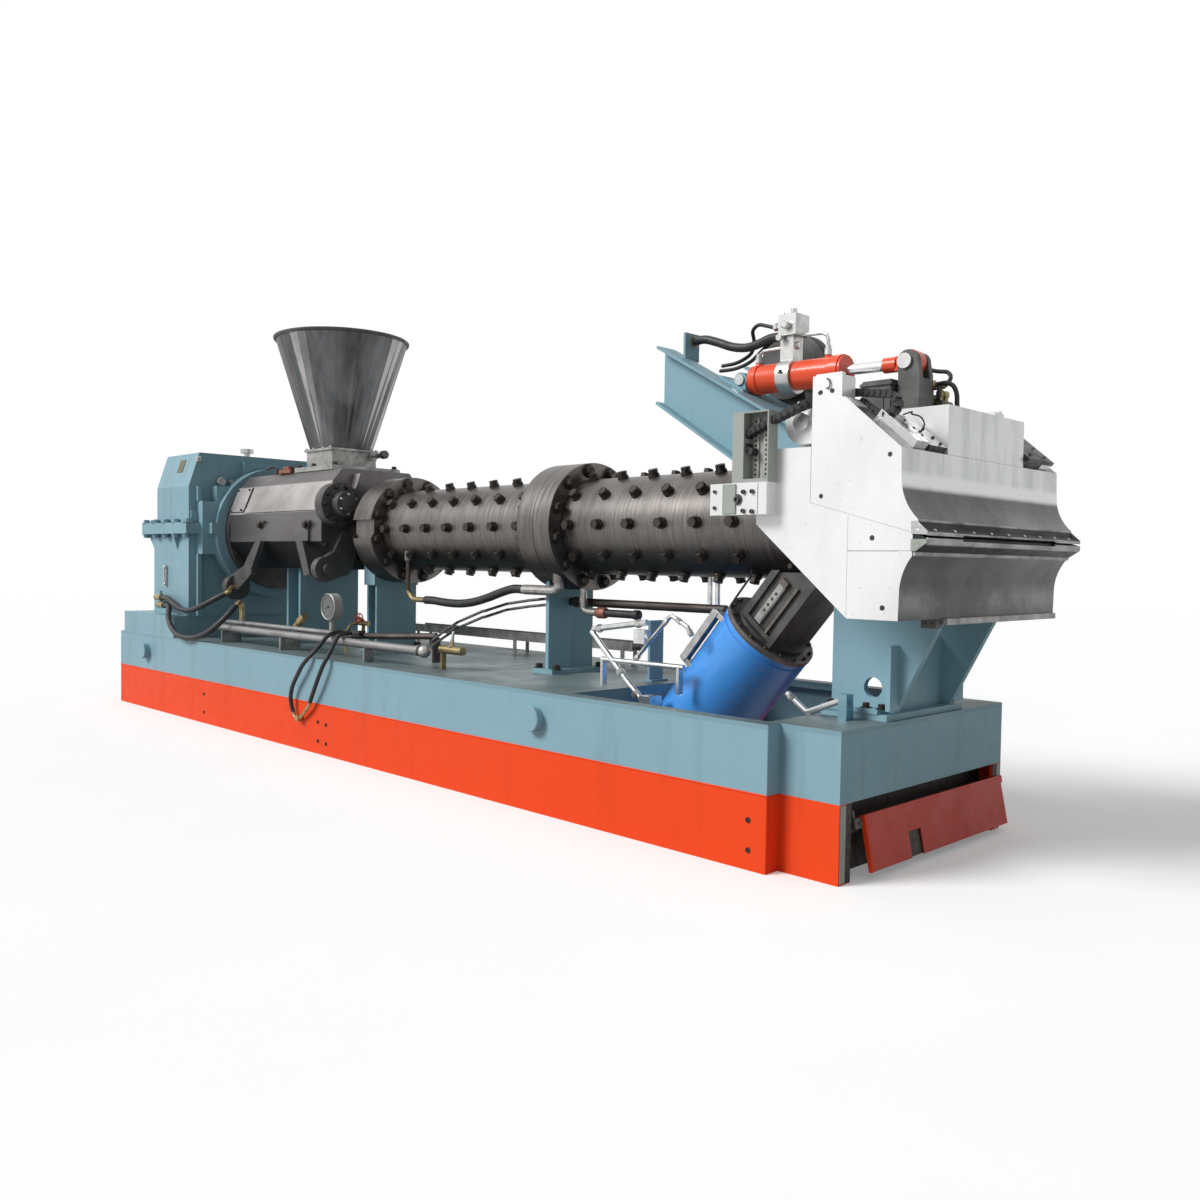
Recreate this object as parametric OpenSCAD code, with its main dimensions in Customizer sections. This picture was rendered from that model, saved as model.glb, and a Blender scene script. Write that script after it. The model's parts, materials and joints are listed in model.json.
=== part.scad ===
// Cold-feed extruder with a slab die head, for rubber compound.
// Millimetres. The origin lies on the floor, under the screw axis, halfway along the base.
// +X runs along the screw towards the head, +Y to the far side, +Z up.

/* [Base] */
// How far the base runs on behind the gearbox
base_rear = 418; // [380:1:520]
// How far the base runs on past the end of the barrel
base_front = 414; // [380:1:440]
// Width of the base
base_w = 1514; // [1480:1:1640]
// Height of the deck above the floor
base_h = 585; // [560:1:640]
// Height of the skirt panels
skirt_h = 303; // [250:1:330]
// Thickness of the side webs
web_t = 16; // [10:1:30]
// Width of the inner flanges of the side beams
beam_flange_w = 80; // [60:1:110]
// Thickness of the deck plates
deck_t = 20; // [12:1:30]
// Length of the narrower block at the head end
nose_l = 276; // [200:1:340]
// How far that block steps in on each side
nose_inset = 82; // [60:1:110]
// Length of the pit in the deck
pit_l = 1140; // [1110:1:1170]

/* [Gearbox] */
// Length of the gearbox body
gearbox_l = 651; // [600:1:720]
// Width of the gearbox body
gearbox_w = 1300; // [1240:1:1360]
// Height of the plinth under the gearbox
plinth_h = 165; // [120:1:200]
// Height of the gearbox above its split line
gearbox_top_h = 580; // [540:1:640]
// Thickness of one half of the split flange
split_flange_t = 42; // [30:1:55]
// Radius of the bell at the output side
bell_r = 470; // [440:1:490]
// Radius of the bell's bolting ring
bell_ring_r = 507; // [495:1:540]
// Radius of the input shaft
input_shaft_r = 60; // [45:1:75]
// Length of the input shaft that stands out
input_shaft_l = 200; // [150:1:260]

/* [Feed housing] */
// Height of the screw axis above the floor
axis_z = 1400; // [1380:1:1430]
// Rear end of the feed housing
feed_x0 = -2130; // [-2150:1:-2110]
// Length of the feed housing
feed_l = 1350; // [1300:1:1380]
// Half width of the feed housing at the sides
feed_half_w = 430; // [410:1:450]
// Height of the feed housing's top above the screw axis
feed_top = 420; // [400:1:440]
// Radius of the cover of the feed roll
roll_cover_r = 147; // [130:1:160]

/* [Hopper] */
// Place of the hopper's centre along the screw
hopper_x = -1250; // [-1300:1:-1230]
// Radius of the hopper's round mouth
hopper_r = 470; // [430:1:500]
// Height of the hopper cone
hopper_h = 795; // [740:1:860]
// Thickness of the hopper's sheet
hopper_t = 6; // [4:1:10]
// Height of the cast neck under the hopper
neck_h = 137; // [110:1:160]

/* [Barrel] */
// Outer radius of the barrel
barrel_r = 260; // [250:1:270]
// Radius of the bolted flanges
flange_r = 350; // [340:1:370]
// Pitch of the pin rings
pin_pitch = 219; // [210:1:225]
// Pins in one ring
pins_per_ring = 10; // [8:1:12]
// Size of a pin head across its corners
pin_head_d = 52; // [44:1:58]
// Height of a pin head above the barrel
pin_head_h = 38; // [30:1:45]
// Rear face of the middle flange, along the screw
mid_flange_x0 = 1150; // [1100:1:1200]
// Length of the middle flange
mid_flange_l = 260; // [240:1:270]
// Length of the barrel in front of the middle flange
barrel_front_l = 1604; // [1560:1:1650]

/* [Head] */
// Width of the die head
head_w = 1350; // [1300:1:1400]
// Thickness of the cheek plates
cheek_t = 90; // [70:1:110]
// Half width of the top block
top_block_half_w = 330; // [310:1:350]
// Width of the die gap
die_gap = 9; // [6:1:12]
// Distance of the upper jaw's hinge from the end of the barrel
hinge_dx = 176; // [171:1:181]
// Height of the upper jaw's hinge above the screw axis
hinge_dz = 360; // [355:1:368]
// Radius of the hinge pin
hinge_pin_r = 35; // [30:1:40]

/* [Opening cylinder] */
// Place of the cylinder across the head
ram_y = -250; // [-255:1:-240]
// Distance of the rear pin behind the end of the barrel
ram_rear_dx = 383; // [378:1:388]
// Height of the rear pin above the screw axis
ram_rear_dz = 628; // [622:1:634]
// Distance of the front pin, on the upper jaw, from the end of the barrel
ram_pin_dx = 429; // [424:1:434]
// Height of the front pin above the screw axis
ram_pin_dz = 611; // [606:1:616]
// Outer radius of the cylinder's tube
ram_r = 63; // [55:1:66]
// Radius of the piston rod
ram_rod_r = 22; // [18:1:26]

/* [Clamp cylinder] */
// Distance of the clamp cylinder's rim behind the end of the barrel
clamp_dx = 418; // [412:1:424]
// Height of the clamp cylinder's rim above the deck
clamp_dz = 298; // [290:1:305]
// Lean of the clamp cylinder from the vertical
clamp_tilt = 40.3; // [39:0.1:41.5]
// Outer radius of the clamp cylinder
clamp_r = 226; // [215:1:235]
// Length of the clamp cylinder
clamp_l = 700; // [660:1:715]

/* [Hidden] */
$fn = 64;
e = 1;                                  // overlap of a cut past a face
fit_gap = 0.08;                         // running clearance of a pin in its bore

seal_ring_x0 = feed_x0 - 60;
bell_ring_l = 110;
bell_ring_x0 = seal_ring_x0 - bell_ring_l;
gearbox_x1 = bell_ring_x0 - 59;
gearbox_x0 = gearbox_x1 - gearbox_l;
feed_x1 = feed_x0 + feed_l;
rear_flange_x0 = feed_x1 + 260;
mid_flange_x1 = mid_flange_x0 + mid_flange_l;
barrel_x1 = mid_flange_x1 + barrel_front_l;
base_x0 = gearbox_x0 - base_rear;
base_x1 = barrel_x1 + base_front;
main_x1 = base_x1 - nose_l;
main_l = main_x1 - base_x0;
half_w = base_w / 2;
nose_half_w = half_w - nose_inset;
beam_z0 = skirt_h + 4;
beam_top = base_h - deck_t;
rib_t = 20;

deck_z = base_h;
pit_x1 = main_x1 - 52;
pit_x0 = pit_x1 - pit_l;
gearbox_half_w = gearbox_w / 2;
gearbox_z0 = deck_z + plinth_h;
split_z = axis_z + 22;
gearbox_z1 = split_z + gearbox_top_h;
seal_ring_r = 440;

feed_top_z = axis_z + feed_top;
plate_t = 33;
neck_z0 = feed_top_z + plate_t;
hopper_z0 = neck_z0 + neck_h;
neck_l = 350;
neck_w = 360;
neck_lip = 14;

rear_flange_l = 210;
barrel_x0 = feed_x1;
barrel_neck_r = barrel_r - 20;
rear_ring_x = rear_flange_x0 + 267;
rear_rings = floor((mid_flange_x0 - 80 - rear_ring_x) / pin_pitch) + 1;
front_ring_x = mid_flange_x1 + 66;
front_rings = floor((barrel_x1 - 250 - front_ring_x) / pin_pitch) + 1;

head_half_w = head_w / 2;
body_x0 = barrel_x1;
body_top_z = axis_z + 255;
head_foot_z = axis_z - 391;
jaw_x0 = barrel_x1 + 254;
hinge_x = barrel_x1 + hinge_dx;
hinge_z = axis_z + hinge_dz;
knuckle_r = 85;
knuckle_w = 80;
knuckle_y = 580;
knuckle_room = 10;                      // room beside the jaw's knuckle
ear_w = 90;
ear_r = 73;

ram_rear_x = barrel_x1 - ram_rear_dx;
ram_rear_z = axis_z + ram_rear_dz;
ram_pin_x = barrel_x1 + ram_pin_dx;
ram_pin_z = axis_z + ram_pin_dz;
clamp_x = barrel_x1 - clamp_dx;
clamp_z = deck_z + clamp_dz;
ram_len = norm([ram_pin_x - ram_rear_x, ram_pin_z - ram_rear_z]);
ram_dip = atan2(ram_pin_z - ram_rear_z, ram_pin_x - ram_rear_x);

module along_x(x0, l) {
  translate([x0, 0, 0]) rotate([90, 0, 90]) linear_extrude(l) children();
}

module across_y(y0, w) {
  translate([0, y0 + w, 0]) rotate([90, 0, 0]) linear_extrude(w) children();
}

module both_sides() {
  children();
  mirror([0, 1, 0]) children();
}

module box(p, q) {
  translate(p) cube(q - p);
}

module x_rod(x0, l, r, y = 0, z = axis_z) {
  translate([x0, y, z]) rotate([0, 90, 0]) cylinder(h = l, r = r);
}

module y_rod(x, z, y0, w, r) {
  translate([x, y0 + w, z]) rotate([90, 0, 0]) cylinder(h = w, r = r);
}

function unit(v) = v / norm(v);
function tangent(p, i) = unit(p[min(i + 1, len(p) - 1)] - p[max(i - 1, 0)]);

// Side vector of each ring of a tube, carried along the route without twist
function side_vectors(p, i = 0, found = []) =
  i == len(p) ? found :
  let (t = tangent(p, i),
       last = i > 0 ? found[i - 1] : abs(t.z) < 0.9 ? [0, 0, 1] : [1, 0, 0])
  side_vectors(p, i + 1, concat(found, [unit(last - (last * t) * t)]));

// Point that carries the last stretch of the route p on by l
function ahead(p, l) = p[len(p) - 1] + l * unit(p[len(p) - 1] - p[len(p) - 2]);

module tube(p, d, sides = 8) {
  // Round tube swept along the points p
  side = side_vectors(p);
  n = len(p);
  rings = [for (i = [0 : n - 1], k = [0 : sides - 1])
    let (a = 360 * k / sides) p[i] + d / 2 * (cos(a) * side[i] + sin(a) * cross(tangent(p, i), side[i]))];
  polyhedron(points = rings, faces = concat(
    [[for (k = [0 : sides - 1]) k], [for (k = [sides - 1 : -1 : 0]) (n - 1) * sides + k]],
    [for (i = [0 : n - 2], k = [0 : sides - 1])
      let (a = i * sides + k, b = i * sides + (k + 1) % sides)
        each [[a, b + sides, b], [a, a + sides, b + sides]]]));
}

// --- Base ---

module side_beam() {
  // Channel on its side: web outside, flanges turned in
  along_x(base_x0, main_l) polygon([
    [-half_w, beam_z0], [-half_w + beam_flange_w, beam_z0],
    [-half_w + beam_flange_w, beam_z0 + web_t], [-half_w + web_t, beam_z0 + web_t],
    [-half_w + web_t, beam_top - web_t], [-half_w + beam_flange_w, beam_top - web_t],
    [-half_w + beam_flange_w, beam_top], [-half_w, beam_top]]);
}

boss_r = 58;
boss_l = 45;
boss_z = 455;
boss_dx = 4675;                         // distance between the lifting bosses of one side
boss_x1 = main_x1 - 1357;
boss_x = [boss_x1 - boss_dx, boss_x1];

module side_beams() {
  color("#87acbc") both_sides() {
    side_beam();
    // Lifting bosses
    for (x = boss_x) y_rod(x, boss_z, -half_w - boss_l, boss_l + web_t / 2, boss_r);
  }
}

module skirt(x0, l, y) {
  // Panel with its top turned in under the beam and its foot turned in on the floor
  along_x(x0, l) polygon([
    [-y, 0], [-y + beam_flange_w, 0], [-y + beam_flange_w, web_t], [-y + web_t, web_t],
    [-y + web_t, beam_z0 - web_t], [-y + beam_flange_w, beam_z0 - web_t],
    [-y + beam_flange_w, beam_z0], [-y, beam_z0]]);
}

anchor_x = [base_x0 + 428, main_x1 - 152];
anchor_y = half_w - 45;
anchor_r = 14;

module main_skirt() {
  difference() {
    skirt(base_x0, main_l, half_w);
    for (x = anchor_x) translate([x, -anchor_y, -e]) cylinder(h = web_t + 2 * e, r = anchor_r);
  }
}

module side_skirts() {
  color("#ee5428") both_sides() {
    main_skirt();
    box([main_x1, -nose_half_w, 0], [base_x1, -nose_half_w + web_t, beam_z0]);
    box([base_x1 - web_t, -nose_half_w + web_t, 0], [base_x1, -nose_half_w + beam_flange_w, beam_z0]);
  }
}

cross_x = [base_x0, gearbox_x0 + 60, -1500, -590, -rib_t / 2, 1200, pit_x0 - rib_t, pit_x1, main_x1 - rib_t];

module cross_members() {
  color("#4a6264") for (x = cross_x)
    difference() {
      box([x, -half_w + web_t, 0], [x + rib_t, half_w - web_t, beam_top]);
      both_sides() {
        box([x - e, -half_w, -e], [x + rib_t + e, -half_w + beam_flange_w, web_t]);
        box([x - e, -half_w, beam_z0 - web_t], [x + rib_t + e, -half_w + beam_flange_w, beam_z0 + web_t]);
        box([x - e, -half_w, beam_top - web_t], [x + rib_t + e, -half_w + beam_flange_w, beam_top + e]);
      }
    }
}

module deck_plate() {
  color("#5d7d84") difference() {
    union() {
      box([base_x0, -half_w, beam_top], [main_x1, half_w, base_h]);
      box([main_x1, -nose_half_w, beam_top], [base_x1, nose_half_w, base_h]);
    }
    box([pit_x0, -half_w + beam_flange_w, beam_top - e], [pit_x1, half_w - beam_flange_w, base_h + e]);
  }
}

module nose_frame() {
  // Upper band of the nose: two webs and the front plate
  color("#87acbc") difference() {
    box([main_x1, -nose_half_w, beam_z0], [base_x1, nose_half_w, beam_top]);
    box([main_x1 - e, -nose_half_w + web_t, beam_z0 - e],
        [base_x1 - web_t, nose_half_w - web_t, beam_top + e]);
  }
}

cover_y0 = -nose_half_w + 153;
cover_y1 = nose_half_w - 15;
cover_lean = 11.7;
cover_h = 212;

cover_t = 6;
cover_fold = 34;
cover_top_z = 240;

module cover_rail() {
  color("#3a3f40") box([base_x1 - web_t - 40, -nose_half_w + web_t, 180],
    [base_x1 - web_t, nose_half_w - web_t,
     cover_top_z - cover_fold * sin(cover_lean) - cover_t * cos(cover_lean) - 0.3]);
}

module front_cover() {
  // Sheet cover that leans out at the foot, folded back over the rail at its top
  color("#b43c32") translate([base_x1, 0, cover_top_z]) rotate([0, -cover_lean, 0]) difference() {
    union() {
      box([0, cover_y0, -cover_h], [cover_t, cover_y1, 0]);
      box([-cover_fold, cover_y0, -cover_t], [0, nose_half_w - beam_flange_w - 5, 0]);
      box([cover_t, cover_y0, -26], [cover_t + 8, cover_y1, 0]);
    }
    box([-e, -210, -cover_h - e], [20, -110, -cover_h + 105]);
  }
}

// --- Gearbox ---

module gearbox_plinth() {
  color("#7f9fb0") box([gearbox_x0 - 340, -half_w, deck_z], [gearbox_x1 - 20, half_w, gearbox_z0]);
}

flange_rear_l = 120;
flange_front_l = 69;
flange_lip = 50;

module gearbox_flange(z0) {
  box([gearbox_x0 - flange_rear_l, -gearbox_half_w - flange_lip, z0],
      [gearbox_x1 + flange_front_l, gearbox_half_w + flange_lip, z0 + split_flange_t]);
}

shaft_y = 330;
shaft_cover_r = 150;

module shaft_seat() {
  x_rod(gearbox_x0 - flange_rear_l - e, flange_rear_l + 1 + e, shaft_cover_r, shaft_y, split_z);
}

module gusset(x) {
  // Triangular web under the side of the split flange
  along_x(x, 24) polygon([[-gearbox_half_w, split_z - split_flange_t],
    [-gearbox_half_w - 45, split_z - split_flange_t], [-gearbox_half_w, split_z - split_flange_t - 130]]);
}

module end_gusset() {
  // Triangular web under the flange's rear overhang
  across_y(-gearbox_half_w, 24) polygon([[gearbox_x0, split_z - split_flange_t],
    [gearbox_x0 - 115, split_z - split_flange_t], [gearbox_x0, split_z - split_flange_t - 115]]);
}

bearing_x1 = gearbox_x1 + 109;
bearing_z0 = axis_z - 174;
bearing_z1 = axis_z + 227;
bearing_half_w = gearbox_half_w - 59;
edge_rib_y = 50;
edge_rib_l = 50;
edge_rib_t = 30;

module gearbox_lower() {
  color("#87acbc") difference() {
    union() {
      box([gearbox_x0, -gearbox_half_w, gearbox_z0], [gearbox_x1, gearbox_half_w, split_z - split_flange_t]);
      gearbox_flange(split_z - split_flange_t);
      both_sides() {
        gusset(gearbox_x1 - 215);
        end_gusset();
        box([gearbox_x1, -gearbox_half_w + edge_rib_y, gearbox_z0],
            [gearbox_x1 + edge_rib_l, -gearbox_half_w + edge_rib_y + edge_rib_t, bearing_z0]);
      }
    }
    shaft_seat();
  }
}

hatch_l = 300;
hatch_half_w = 190;
hatch_t = 14;

module gearbox_upper() {
  chamfer_w = 83;
  chamfer_h = 260;
  color("#87acbc") difference() {
    union() {
      gearbox_flange(split_z);
      along_x(gearbox_x0 + 60, gearbox_l - 60) polygon([
        [-gearbox_half_w, split_z + split_flange_t], [-gearbox_half_w, gearbox_z1 - chamfer_h],
        [-gearbox_half_w + chamfer_w, gearbox_z1], [gearbox_half_w - chamfer_w, gearbox_z1],
        [gearbox_half_w, gearbox_z1 - chamfer_h], [gearbox_half_w, split_z + split_flange_t]]);
      both_sides() box([gearbox_x1, -gearbox_half_w + edge_rib_y, bearing_z1],
                       [gearbox_x1 + edge_rib_l, -gearbox_half_w + edge_rib_y + edge_rib_t,
                        gearbox_z1 - chamfer_h]);
      // Inspection cover on the top
      box([gearbox_x0 + 100, -hatch_half_w + 160, gearbox_z1 - e],
          [gearbox_x0 + 100 + hatch_l, hatch_half_w + 160, gearbox_z1 + hatch_t]);
    }
    shaft_seat();
  }
}

module breather() {
  color("#b8b4a8") translate([gearbox_x1 - 250, -60, gearbox_z1]) {
    cylinder(h = 50, r = 24);
    translate([0, 0, 50]) cylinder(h = 32, r = 52);
  }
}

module input_shaft() {
  color("#9a9a98") union() {
    x_rod(gearbox_x0 - 140, 140, shaft_cover_r, shaft_y, split_z);
    x_rod(gearbox_x0 - 140 - input_shaft_l, input_shaft_l, input_shaft_r, shaft_y, split_z);
  }
}

bearing_steps = [[0, bearing_z0], [-bearing_half_w, bearing_z0], [-bearing_half_w, bearing_z1],
                 [-bearing_half_w + 111, bearing_z1], [-bearing_half_w + 111, bearing_z1 + 123],
                 [0, bearing_z1 + 123]];

// Outline given for one side, completed by its mirror image
module both_halves(outline) {
  polygon(outline);
  mirror([1, 0]) polygon(outline);
}

module bell_housing() {
  color("#7fa8b4") difference() {
    union() {
      x_rod(gearbox_x1, bell_ring_x0 - gearbox_x1, bell_r);
      x_rod(bell_ring_x0, bell_ring_l, bell_ring_r);
      // Stepped bearing block above and beside the bell
      along_x(gearbox_x1, bearing_x1 - gearbox_x1) both_halves(bearing_steps);
      box([gearbox_x1, -230, bearing_z1], [gearbox_x1 + 49, 230, gearbox_z1 - 47]);
      box([gearbox_x1 + 69, -bell_ring_r - 38, split_z - split_flange_t],
          [bell_ring_x0 + bell_ring_l, bell_ring_r + 38, split_z + split_flange_t]);
    }
    box([gearbox_x1 - e, -bearing_half_w - e, split_z - split_flange_t],
        [gearbox_x1 + 69, bearing_half_w + e, split_z + split_flange_t]);
  }
}

module seal_ring() {
  color("#c9ccca") x_rod(seal_ring_x0, feed_x0 - seal_ring_x0, seal_ring_r);
}

// --- Feed housing and hopper ---

module feed_section() {
  polygon([
    [-feed_half_w + 160, feed_top_z], [-feed_half_w + 85, feed_top_z - 88], [-feed_half_w, axis_z + 124],
    [-feed_half_w, axis_z - 80], [-feed_half_w + 150, axis_z - 270],
    [feed_half_w - 150, axis_z - 270], [feed_half_w, axis_z - 80],
    [feed_half_w, axis_z + 124], [feed_half_w - 85, feed_top_z - 88], [feed_half_w - 160, feed_top_z]]);
}

throat_l = 270;
throat_w = 280;
panel_z0 = axis_z - 77;
cover_out = 12;
bevel_z0 = axis_z + 124;
bevel_z1 = feed_top_z - 88;

// Place across the screw of the steep bevel at height z, moved out by t
function bevel(z, t) = let (k = 85 / (bevel_z1 - bevel_z0))
  [-feed_half_w + k * (z - bevel_z0), z] + t * [-1, k] / norm([1, k]);

module throat(z0, z1) {
  box([hopper_x - throat_l / 2, -throat_w / 2, z0], [hopper_x + throat_l / 2, throat_w / 2, z1]);
}

module feed_housing() {
  color("#8d8482") difference() {
    union() {
      along_x(feed_x0, feed_l) feed_section();
      both_sides() {
        // Cover on the bevel and panel on the side
        along_x(feed_x0 + 5, 220)
          polygon([bevel(bevel_z0 + 16, -1), bevel(bevel_z0 + 16, cover_out), bevel(bevel_z1 - 8, cover_out),
                   bevel(bevel_z1 - 8, -1)]);
        box([feed_x0 + 520, -feed_half_w - 14, panel_z0], [feed_x1 - 153, -feed_half_w + e, axis_z + 48]);
        along_x(feed_x0 + 240, feed_l - 240) polygon([bevel(bevel_z0 + 6, -1), bevel(bevel_z0 + 6, 8),
          bevel(bevel_z0 + 40, 8), bevel(bevel_z0 + 40, -1)]);
      }
    }
    // Feed throat down to the screw
    throat(axis_z, feed_top_z + e);
  }
}

foot_t = 25;

module feed_stand() {
  stand_x = feed_x0 + feed_l / 2 - 45;
  color("#6c8f96") translate([stand_x, 0, 0]) union() {
    box([-120, -260, deck_z], [120, 260, deck_z + foot_t]);
    box([-100, -240, deck_z + foot_t], [-75, 240, axis_z - 270]);
    box([75, -240, deck_z + foot_t], [100, 240, axis_z - 270]);
    box([-75, -15, deck_z + foot_t], [75, 15, axis_z - 270]);
  }
}

roll_y = -334;
roll_z = axis_z + 167;
roll_cover_l = 90;
roll_boss_r = 85;
arm_y = -feed_half_w + 8;
arm_z = axis_z - 268;
arm_t = 60;

module roll_cover() {
  // Round cover of the feed roll's drive, clear of the barrel's neck
  color("#6e6462") difference() {
    union() {
      x_rod(feed_x1, roll_cover_l, roll_cover_r, roll_y, roll_z);
      x_rod(feed_x1 + roll_cover_l, 90, roll_boss_r, roll_y, roll_z);
      x_rod(feed_x1 + roll_cover_l + 90, 14, roll_boss_r - 30, roll_y, roll_z);
    }
    x_rod(feed_x1 - e, rear_flange_x0 - feed_x1 + 2 * e, barrel_neck_r + 0.3);
  }
}

lug_x0 = feed_x0 + 70;
lug_z = axis_z - 420;
lug_r = 95;
lug_w = 70;
bar_y0 = -feed_half_w - 40;
bar_w = 40;

module feed_door() {
  // Slanting bars and round lugs that carry the feed roll's door
  color("#6a6a6a") {
    union() {
      x_rod(lug_x0, lug_w, lug_r, -feed_half_w, lug_z);
      x_rod(lug_x0 + lug_w, 45, 35, -feed_half_w, lug_z);
      across_y(bar_y0, bar_w) polygon([[lug_x0, axis_z - 340], [lug_x0 + 235, axis_z - 260],
        [lug_x0 + 420, panel_z0 - 0.3], [lug_x0 + 500, panel_z0 - 0.3], [lug_x0 + 360, axis_z - 275],
        [lug_x0 + 360, axis_z - 315], [lug_x0 + 100, axis_z - 460]]);
    }
    union() {
      across_y(bar_y0, bar_w) polygon([[feed_x1 - 275, panel_z0 - 0.3], [feed_x1 - 184, panel_z0 - 0.3],
        [feed_x1 - 77, axis_z - 308], [feed_x1 - 157, axis_z - 313]]);
      box([feed_x1 - 150, bar_y0 + bar_w - e, axis_z - 300], [feed_x1, -feed_half_w + 60, axis_z - 250]);
      difference() {
        union() {
          along_x(feed_x1, arm_t) polygon([[-297, axis_z - 7], [-368, axis_z - 150], [arm_y, axis_z - 183],
            [arm_y, axis_z - 353], [-250, axis_z - 300], [-200, axis_z - 200], [-200, axis_z - 7]]);
          x_rod(feed_x1, arm_t, 85, arm_y, arm_z);
          x_rod(feed_x1 + arm_t, 40, 38, arm_y, arm_z);
        }
        x_rod(feed_x1 - e, arm_t + 2 * e, barrel_neck_r + 0.3);
      }
    }
  }
}

module hopper_plate() {
  color("#c4c2bb") difference() {
    box([hopper_x - 175, -277, feed_top_z], [hopper_x + 340, 277, neck_z0]);
    throat(feed_top_z - e, neck_z0 + e);
  }
}

module hopper_neck() {
  slide_x = hopper_x + neck_l / 2;
  color("#c9c7c0") difference() {
    union() {
      box([hopper_x - neck_l / 2, -neck_w / 2, neck_z0], [slide_x, neck_w / 2, hopper_z0]);
      box([hopper_x - neck_l / 2 - neck_lip, -neck_w / 2 - neck_lip, hopper_z0 - 16],
          [slide_x + neck_lip, neck_w / 2 + neck_lip, hopper_z0]);
      // Guide and knob of the slide gate
      box([slide_x, neck_w / 2 - 60, neck_z0 + 70], [slide_x + 12, neck_w / 2, neck_z0 + 120]);
      x_rod(slide_x, 60, 8, neck_w / 2 - 30, neck_z0 + 95);
      x_rod(slide_x + 60, 24, 18, neck_w / 2 - 30, neck_z0 + 95);
    }
    throat(neck_z0 - e, hopper_z0 + e);
  }
}

// Square to round: each level blends a rounded rectangle into a circle
function hopper_ring(t, off) = [for (i = [0 : 39])
  let (a = i * 9,
       c = cos(a), s = sin(a),
       square = min(neck_l / 2 / max(abs(c), 0.001), neck_w / 2 / max(abs(s), 0.001)),
       r = (1 - t) * min(square, 225) + t * hopper_r + off)
  [hopper_x + r * c, r * s, hopper_z0 + t * hopper_h]];

module hopper() {
  outer0 = hopper_ring(0, 0);
  outer1 = hopper_ring(1, 0);
  inner0 = hopper_ring(0, -hopper_t);
  inner1 = hopper_ring(1, -hopper_t);
  n = 40;
  color("#5f6163") polyhedron(
    points = concat(outer0, outer1, inner0, inner1),
    faces = [for (i = [0 : n - 1]) let (j = (i + 1) % n) each [
      [i, n + i, n + j], [i, n + j, j],
      [2 * n + i, 2 * n + j, 3 * n + j], [2 * n + i, 3 * n + j, 3 * n + i],
      [n + i, 3 * n + i, 3 * n + j], [n + i, 3 * n + j, n + j],
      [i, j, 2 * n + j], [i, 2 * n + j, 2 * n + i]]]);
}

// --- Barrel ---

module barrel_rear() {
  color("#6b625c") union() {
    x_rod(barrel_x0, rear_flange_x0 - barrel_x0, barrel_neck_r);
    x_rod(rear_flange_x0, mid_flange_x0 - rear_flange_x0, barrel_r);
    translate([rear_port_x, port_y, rear_port_z]) cylinder(h = 60, r = 26);
  }
}

module ring_cut(x0, l, r, depth) {
  // Groove round a ring of radius r
  difference() {
    x_rod(x0, l, r + e);
    x_rod(x0 - e, l + 2 * e, r - depth);
  }
}

module ring_shape(x0, l, r) {
  difference() {
    x_rod(x0, l, r);
    x_rod(x0 - e, l + 2 * e, barrel_r + 0.3);
  }
}

seam_l = 4;
port_x = mid_flange_x0 + 184;
port_y = -200;
port_z = axis_z - 310;
rear_port_x = rear_ring_x + 160;
rear_port_z = axis_z - 200;

module barrel_flanges() {
  color("#7a716b") {
    difference() {
      ring_shape(rear_flange_x0, rear_flange_l, flange_r);
      both_sides() box([rear_flange_x0 - e, -flange_r - e, axis_z - 60],
                       [rear_flange_x0 + rear_flange_l + e, -flange_r + 30, axis_z + 60]);
    }
    // Middle pair with a fine groove between its halves
    difference() {
      ring_shape(mid_flange_x0, mid_flange_l, flange_r);
      ring_cut(mid_flange_x0 + mid_flange_l / 2 - seam_l / 2, seam_l, flange_r, 8);
    }
    // Water port under the near side
    difference() {
      translate([port_x, port_y, port_z]) cylinder(h = 90, r = 34);
      x_rod(mid_flange_x0, mid_flange_l, flange_r - 2);
    }
  }
}

module barrel_front() {
  color("#6b625c") x_rod(mid_flange_x0, barrel_x1 - mid_flange_x0, barrel_r);
}

module pin_rings(x0, rings) {
  for (k = [0 : rings - 1], a = [0 : pins_per_ring - 1])
    translate([x0 + k * pin_pitch, 0, axis_z]) rotate([a * 360 / pins_per_ring + 90, 0, 0])
      translate([0, 0, barrel_r + 0.3]) {
        cylinder(h = 12, r = pin_head_d / 2 + 4, $fn = 24);
        translate([0, 0, 12]) cylinder(h = pin_head_h - 12, r = pin_head_d / 2, $fn = 6);
      }
}

module barrel_pins() {
  color("#3c3632") {
    pin_rings(rear_ring_x, rear_rings);
    pin_rings(front_ring_x, front_rings);
  }
}

module stand_foot(half_l, half_w) {
  box([-half_l, -half_w, deck_z], [half_l, half_w, deck_z + foot_t]);
}

saddle_z = axis_z - 370;
column_x0 = -17;                        // faces of the plate column from its middle
column_x1 = 8;

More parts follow.
